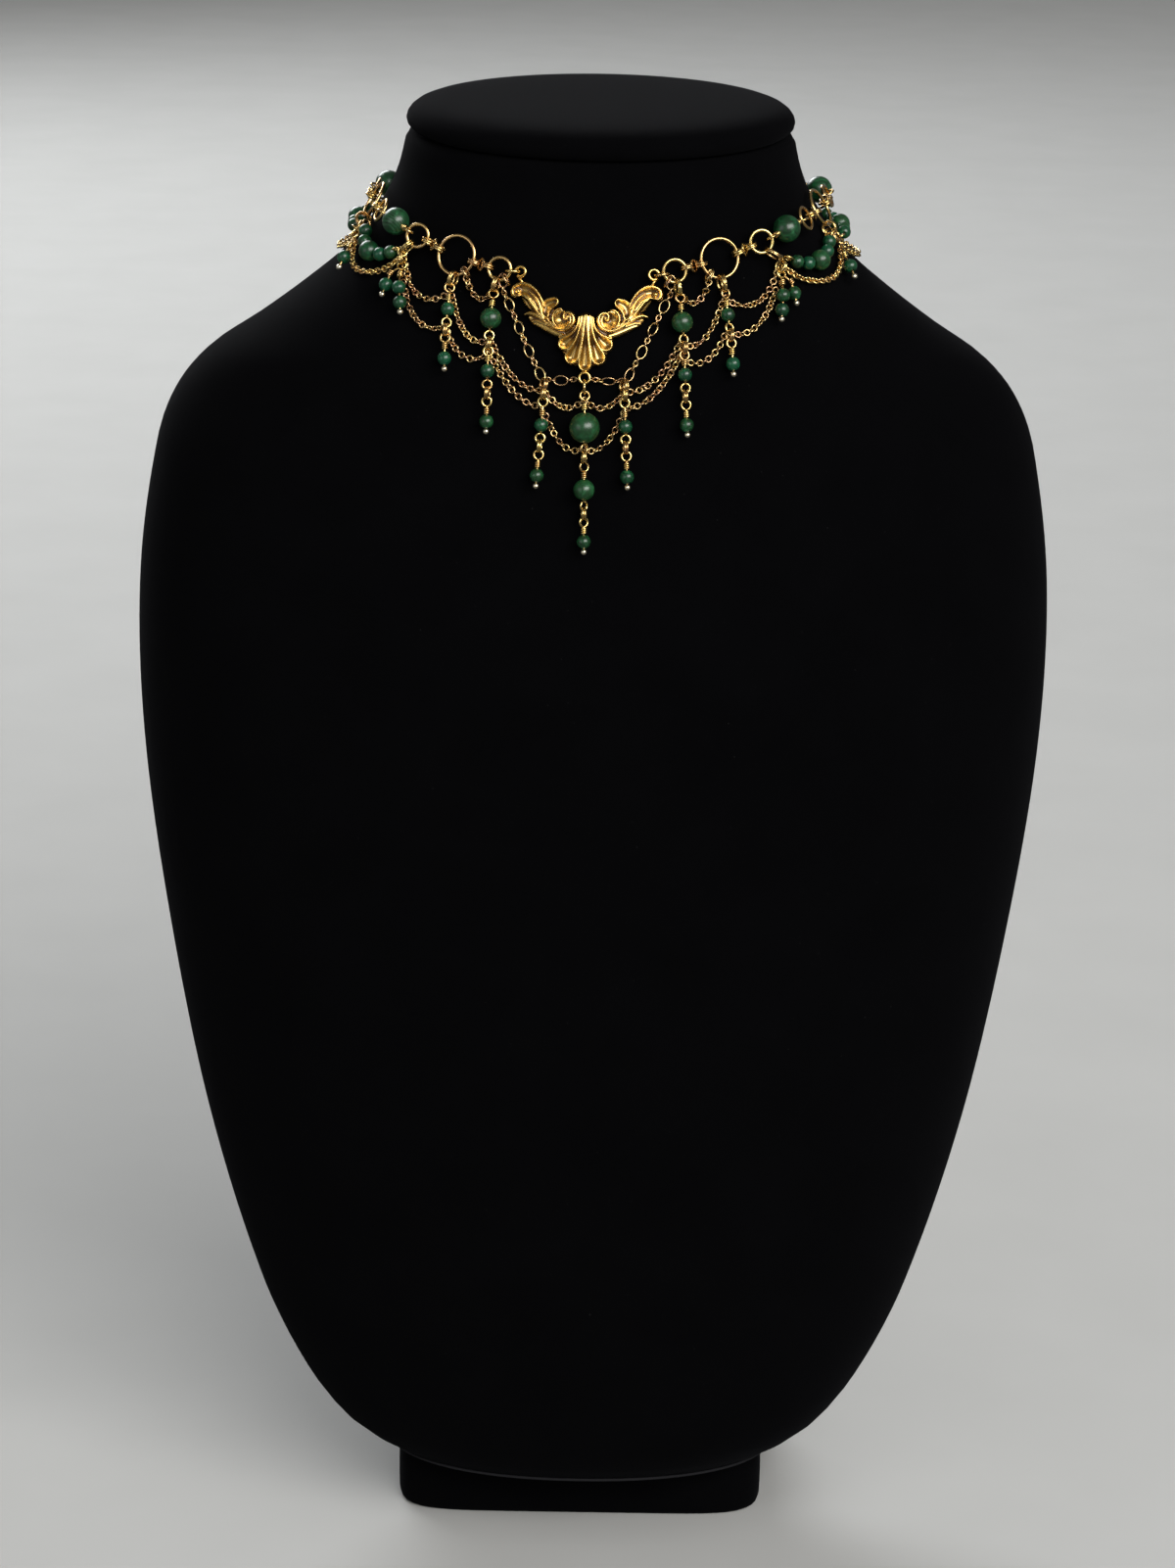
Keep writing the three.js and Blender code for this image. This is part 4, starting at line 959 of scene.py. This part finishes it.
def top_row(label, members):
    """Rings, connectors and wired stones of one side."""
    links = Work()
    for name, member in members.items():
        node = f"{label}_{name}"
        body = ROW_BODIES[member["kind"]]()
        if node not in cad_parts:
            links.add(body, member["frame"])
            continue
        Work().add(body, member["frame"]).dress(node, "gold")
        if member["kind"] == "row":
            stone = Work().add(bead(LARGE_BEAD, 40), member["frame"] @ turned(90, "Y"), 0.1)
            material = BANDED_STONE if label == "left" else STONE
            stone.dress(node.replace("wire", "stone"), "bead", material, "green_stone")
    links.dress(f"{label}_side_links", "gold")


# ---- drops ----

EYE = 1.32 * MM  # radius of a drop's wire eyes
DROP_COIL = coil(0.64 * MM, 1.6 * MM, 2.7, EYE_WIRE * 0.94)


def item(kind, z, size=None, lift=3.1):
    """An item at a height: the turn of an eye or a pair of rings, or a bead's size, and its lift."""
    if size is None:
        size = SMALL_BEAD if kind == "bead" else 0
    return kind, z, size, lift


def drop_items(drop, hand):
    """A drop's items with their places, going downward."""
    (top_v, top_z), (foot_v, foot_z) = drop["top"], drop["foot"]
    items = []
    for kind, z, size, lift in [item(*row) for row in drop["items"]]:
        t = (top_z - z) / (top_z - foot_z)
        v = hand * (top_v + t * (foot_v - top_v)) + drop["lean"] * t
        items.append((kind, place(v, z * MM, lift * MM), size))
    return items


def upright(here, above, below):
    """A frame at here whose Y runs from below to above, and whose Z keeps facing outward."""
    up = unit(above[:3, 3] - below[:3, 3])
    side = unit(np.cross(up, here[:3, 2]))
    return frame_of(here[:3, 3], side, up)


def eye_loop(gap):
    """A wire eye in the XY plane, its opening at this angle."""
    return wire(arc(EYE, gap + 14, gap + 346, 22), EYE_WIRE)


def add_items(items, gold, stones, pale):
    """Wirework and beads down one line of items."""
    pin = []
    for i, (kind, here, size) in enumerate(items):
        above, below = items[max(i - 1, 0)][1], items[min(i + 1, len(items) - 1)][1]
        at = upright(here, above, below)
        if kind in ("coil", "bead", "ball"):
            pin.append(here[:3, 3])
        if kind == "eye":
            over = i + 1 < len(items) and items[i + 1][0] in ("coil", "bead")
            gold.add(eye_loop(-90 if over else 90), at @ turned(size, "Y"))
            if over:
                pin = [here[:3, 3] - EYE * at[:3, 1]]
            elif pin:
                pin.append(here[:3, 3] + EYE * at[:3, 1])
                gold.add(wire(pin, EYE_WIRE, 6))
                pin = []
        elif kind == "coil":
            gold.add(DROP_COIL, at @ turned(90, "X"))
        elif kind == "bead":
            stones.add(bead(size, 36 if size > SMALL_BEAD else 26), at @ turned(90, "X"))
        elif kind == "pair":
            gold.add(pair_of_rings(), at @ turned(size, "Y") @ turned(90, "Z"))
        else:
            pale.add(ball(BALL), at @ turned(90, "X"))
            gold.add(wire(pin, EYE_WIRE, 6))


def spanning_rings(gold, held, eye, out, one_ring):
    """Jump rings, short enough to look right, from a wire held at one point to the eye below it."""
    down = unit(eye - held)
    caught = eye - EYE * down
    across = unit(np.cross(out, down))
    usual = 3 * MM  # from one ring to the next
    count = max(round(np.linalg.norm(caught - held) / usual), 1)
    for k in range(count):
        above = (JUMP_WIRE if k else RING_WIRE + JUMP_WIRE) / 2
        below = (JUMP_WIRE if k + 1 < count else EYE_WIRE + JUMP_WIRE) / 2
        high = held + k / count * (caught - held) - above * down
        low = held + (k + 1) / count * (caught - held) + below * down
        radius = np.linalg.norm(low - high) / 2
        at = frame_of((high + low) / 2, down, across) @ turned(90 * (k % 2), "X")
        if one_ring:
            gold.add(split_ring(radius, JUMP_WIRE), at @ turned(90, "X"))
        else:
            gold.add(pair_of_rings(radius), at)


def drop(label, name, hand, members):
    """One drop: its hook rings, its wirework, its beads, and the balls of its head pins."""
    made, node = DROPS[name], f"{label}{name}"
    items = drop_items(made, hand)
    gold, stones, pale = Work(), Work(), Work()
    if "hook" in made:
        ring_name, turn = made["hook"]
        hook = hook_frame(ring_name, hand, turn, members)
        held = hook[:3, 3] - HOOK_SLACK * hook[:3, 0]
        spanning_rings(gold, held, items[0][1][:3, 3], hook[:3, 2], ring_name == "foot_eye")
    add_items(items, gold, stones, pale)
    if "rear" in made:
        rear = [items[2]]
        for v, *row in made["rear"]:
            kind, z, size, _ = item(*row)
            rear.append((kind, place(hand * v, z * MM, HANG_LIFT), size))
        add_items(rear, gold, stones, pale)
    nodes = [node] + [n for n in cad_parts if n.startswith(f"{node}_stone")]
    gold.dress(node, "wirework")
    pale.dress(node, "head_pins", PALE_GOLD)
    stones.piece(f"{node}_beads", STONE, "green_stone", *nodes)


# ---- chains ----

class Route:
    """A line over the velvet that knows which way is outward."""

    def __init__(self, frames):
        self.points = np.array([f[:3, 3] for f in frames])
        self.outs = np.array([f[:3, 2] for f in frames])
        steps = np.linalg.norm(np.diff(self.points, axis=0), axis=1)
        self.lengths = np.concatenate([[0], np.cumsum(steps)])
        self.length = self.lengths[-1]

    def value(self, rows, s):
        return np.array([np.interp(s, self.lengths, rows[:, k]) for k in range(3)])

    def frame(self, s):
        """X along the route, Z outward."""
        small = 0.2 * MM
        along = unit(self.value(self.points, s + small) - self.value(self.points, s - small))
        side = unit(np.cross(self.value(self.outs, s), along))
        return frame_of(self.value(self.points, s), along, side)


def hung(hand, near, far, sag, t):
    """A place this share of the way along a line that hangs between two: angle, height, lift."""
    v, z, lift = [a + t * (b - a) for a, b in zip(near, far)]
    return place(hand * v, (z - 4 * sag * t * (1 - t)) * MM, lift)


def swag_frames(catches, hand, lift, tie=1.1 * MM):
    """Places along one side's swags; the chain rises off the velvet where it is caught up."""
    frames, steps = [], 24
    for (*near, sag), (*far, _) in zip(catches, catches[1:]):
        for t in np.arange(steps) / steps:
            height = lift + tie * abs(2 * t - 1) ** 8
            frames.append(hung(hand, (*near, height), (*far, height), sag, t))
    v, z, _ = catches[-1]
    return [*frames, place(hand * v, z * MM, lift + tie)]


def lay_chain(work, route, links, twist=14):
    """Closed links along a route, each turned a quarter from the last; links repeat in order."""
    reach = sum(pitch for _, pitch in links)
    count = max(round(route.length / reach), 1)
    stretch = route.length / (count * reach)
    s, roll = 0, 0
    for i in range(count * len(links)):
        roll = 0.9 * roll + CHANCE.gauss(0, twist)
        part, pitch = links[i % len(links)]
        at = route.frame(s + pitch * stretch / 2)
        quarter = 90 * (i % 2) + roll + CHANCE.gauss(0, twist)
        work.add(part, at @ turned(quarter, "X"))
        s += pitch * stretch
    return work


ROLO = [(chain_link(2.35 * MM, 2.25 * MM, CHAIN_WIRE), 1.36 * MM)]
HEAVY_ROLO = [(chain_link(2.4 * MM, 2.3 * MM, 0.62 * MM), 1.18 * MM)]
SHORT_LINK = chain_link(2.3 * MM, 1.8 * MM, 0.48 * MM)
OVAL_LINK = chain_link(4.5 * MM, 3.1 * MM, 0.48 * MM, 22)
LONG_AND_SHORT = [(OVAL_LINK, 3.66 * MM), (SHORT_LINK, 1.46 * MM), (SHORT_LINK, 1.2 * MM),
                  (SHORT_LINK, 1.46 * MM)]


def front_swags(name, catches):
    """One chain across the front, from side to side."""
    left = swag_frames(catches, -1, CHAIN_LIFT)[:0:-1]
    route = Route([*left, *swag_frames(catches, 1, CHAIN_LIFT)])
    lay_chain(Work(), route, ROLO).dress(name, "links", GOLD_CHAIN)


def side_chains(label, hand, members):
    """The heavy swags at the side, and the two fine chains that hang from the top row by a ring."""
    v, z = SIDE_SWAG_START
    caught = place(hand * v, z * MM, HANG_LIFT - 0.4 * MM)
    route = Route([caught, *swag_frames(SIDE_SWAGS, hand, CHAIN_LIFT + 0.4 * MM)])
    lay_chain(Work(), route, HEAVY_ROLO, twist=9).dress(f"{label}_side_swag", "links")
    for chain, ring_name, turn, catches, links, twist in (
            ("top_swag", "large_ring_1", -38, TOP_SWAG, ROLO, 14),
            ("oval_chain", "small_ring_1", -36, OVAL_CHAIN, LONG_AND_SHORT, 6)):
        hook = hook_frame(ring_name, hand, turn, members)
        work = Work().add(split_ring(JUMP_RING, JUMP_WIRE), hook @ turned(90, "X"))
        first = hook.copy()
        first[:3, 3] -= JUMP_RING * hook[:3, 0]
        route = Route([first, *swag_frames(catches, hand, CHAIN_LIFT)])
        lay_chain(work, route, links, twist).dress(f"{label}_{chain}", "links", GOLD_CHAIN)


def strands(label, hand):
    """The two strings of beads behind the drops, with a wire eye at each end."""
    for number, (near, far, sag) in enumerate(STRANDS, 1):
        route = Route([hung(hand, near, far, sag, t) for t in np.linspace(0, 1, 25)])
        spacing, thread = 0.15 * MM, 0.5 * MM
        filled = sum(STRAND_BEADS) + spacing * (len(STRAND_BEADS) - 1)
        s = (route.length - filled) / 2
        stones, gold = Work(), Work()
        for size in STRAND_BEADS:
            stones.add(bead(size, 26), route.frame(s + size / 2) @ turned(90, "Y"))
            s += size + spacing
        gold.add(wire(route.points, thread, 6))
        for s, gap in ((0.0, 0), (route.length, 180)):
            gold.add(eye_loop(gap), route.frame(s) @ turned(90, "X"))
        node = f"{label}_bead_strand_{number}"
        stones.dress(node, "beads", STONE, "green_stone")
        gold.dress(node, "wire")


# ---- back of the neck ----

def back_chain(label, hand, members):
    """A plain chain from the last stone to the clasp."""
    last = members["row_wire_2"]
    start = last["end"] + (STONE_EYE + JUMP_WIRE + 0.3 * MM) * last["frame"][:3, 0]
    low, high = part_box("clasp")
    degree = 0.72 * MM  # of turn, along the back of the neck
    clasp_v = 179.6 - (high.x - low.x) / 2 / degree
    frames = [row_place(hand, last["v"] + 1, BACK_LIFT)]
    frames[0][:3, 3] = start
    first_v, steps = last["v"] + 5, 12
    for k in range(1, steps + 1):
        frames.append(row_place(hand, first_v + (clasp_v - first_v) * k / steps, BACK_LIFT))
    link = chain_link(3.6 * MM, 2.9 * MM, 0.62 * MM, 18, 8)
    lay_chain(Work(), Route(frames), [(link, 2.45 * MM)], twist=8).dress(f"{label}_back_chain", "links")


def clasp_piece():
    """A plain barrel clasp: two tapered halves that meet at a seam, with a collar at each end."""
    low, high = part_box("clasp")
    middle = (low + high) / 2
    half = (high.x - low.x) / 2
    thick = (high.y - low.y) / 2
    barrel = [(0.9, 0.02), (1, 0.05), (0.98, 0.2), (0.86, 0.5), (0.66, 0.76), (0.5, 0.82),
              (0.62, 0.9), (0.5, 0.98), (0.3, 1)]

    def point(turn, share, along):
        turn = math.radians(turn)
        return along * half, share * 1.5 * thick * math.cos(turn), share * thick * math.sin(turn)

    at = place(180, middle.z, 0)
    at[:3, 3] = middle
    barrel = [(share, -along) for share, along in barrel[::-1]] + barrel
    Work().add(loft(barrel, 28, point), at).dress("clasp", "gold")


# ---- assembly ----

bust_velvet()
cap_velvet()
base_velvet()
bust_foot_welt()
ornament()
front_swags("upper_swag_chain", UPPER_SWAGS)
front_swags("lower_swag_chain", LOWER_SWAGS)
clasp_piece()
for label, hand in (("left", -1), ("right", 1)):
    members = row_members(hand)
    top_row(label, members)
    side_chains(label, hand, members)
    strands(label, hand)
    back_chain(label, hand, members)
    for name in DROPS:
        if name != "drop_centre":
            drop(f"{label}_", name, hand, members)
drop("", "drop_centre", 1, members)


# ---- floor, light and camera ----

def pale_floor():
    """A plain matt floor that the base stands on."""
    mesh = bpy.data.meshes.new("floor")
    reach = 30.0
    corners = [(x * reach, y * reach, 0) for x, y in ((-1, -1), (1, -1), (1, 1), (-1, 1))]
    mesh.from_pydata(corners, [], [(0, 1, 2, 3)])
    floor = shown("floor", mesh)
    pale = Finish("pale_floor", Roughness=0.9, Specular_IOR_Level=0.2)
    tint = pale.mix(pale.noise(14, 3), (0.405, 0.405, 0.395), (0.445, 0.445, 0.435))
    mesh.materials.append(pale.wear(Base_Color=tint))
    floor.visible_glossy = False


def facing(location, target):
    """The turn that points a lamp or a camera at its target."""
    return (Vector(target) - Vector(location)).to_track_quat("-Z", "Y")


NECK = (0, 0, 0.38)


def lamp(name, kind, location, energy, colour=(1, 1, 1), **settings):
    """A light turned to the neck."""
    data = bpy.data.lights.new(name, kind)
    data.energy, data.color = energy, colour
    for key, value in settings.items():
        setattr(data, key, value)
    made = shown(name, data)
    made.location = location
    made.rotation_euler = facing(location, NECK).to_euler()
    return made


def studio():
    """Soft daylight from a window at the right, a weaker one behind, and a pale room."""
    for name, location, energy, colour, wide, tall in (
            ("window", (1.83, -2.99, 2.33), 190, (1, 0.985, 0.96), 3.8, 2.0),
            ("rear_window", (-1.3, 2.6, 1.9), 85, (0.96, 0.98, 1), 2.2, 1.4),
            ("left_wall", (-2.4, -2.2, 1.1), 13, (0.97, 0.98, 1), 2.2, 1.8)):
        lamp(name, "AREA", location, energy, colour, shape="RECTANGLE", size=wide, size_y=tall)
    skylight = lamp("skylight", "SUN", (0.4, -0.8, 2.4), 0.8, angle=math.radians(70))
    skylight.visible_glossy = False
    world = bpy.data.worlds.new("room")
    bpy.context.scene.world = world
    world.use_nodes = True
    walls = world.node_tree.nodes["Background"].inputs
    walls["Color"].default_value, walls["Strength"].default_value = (0.86, 0.87, 0.88, 1), 0.13


def camera():
    """A long lens a little above the necklace, looking down at the bust's chest."""
    data = bpy.data.cameras.new("camera")
    data.sensor_width = 36
    focal, tall = 4000, 1601
    data.lens = data.sensor_width * focal / tall
    data.shift_x = -3 / tall
    made = shown("camera", data)
    made.location = (0, -1.150, 0.6085)
    roll = Matrix.Rotation(math.radians(0.9), 3, "Z").to_quaternion()
    made.rotation_mode = "QUATERNION"
    made.rotation_quaternion = facing(made.location, (0, 0, 0.2311)) @ roll
    bpy.context.scene.camera = made
    bpy.context.scene.view_settings.view_transform = "Standard"


pale_floor()
studio()
camera()
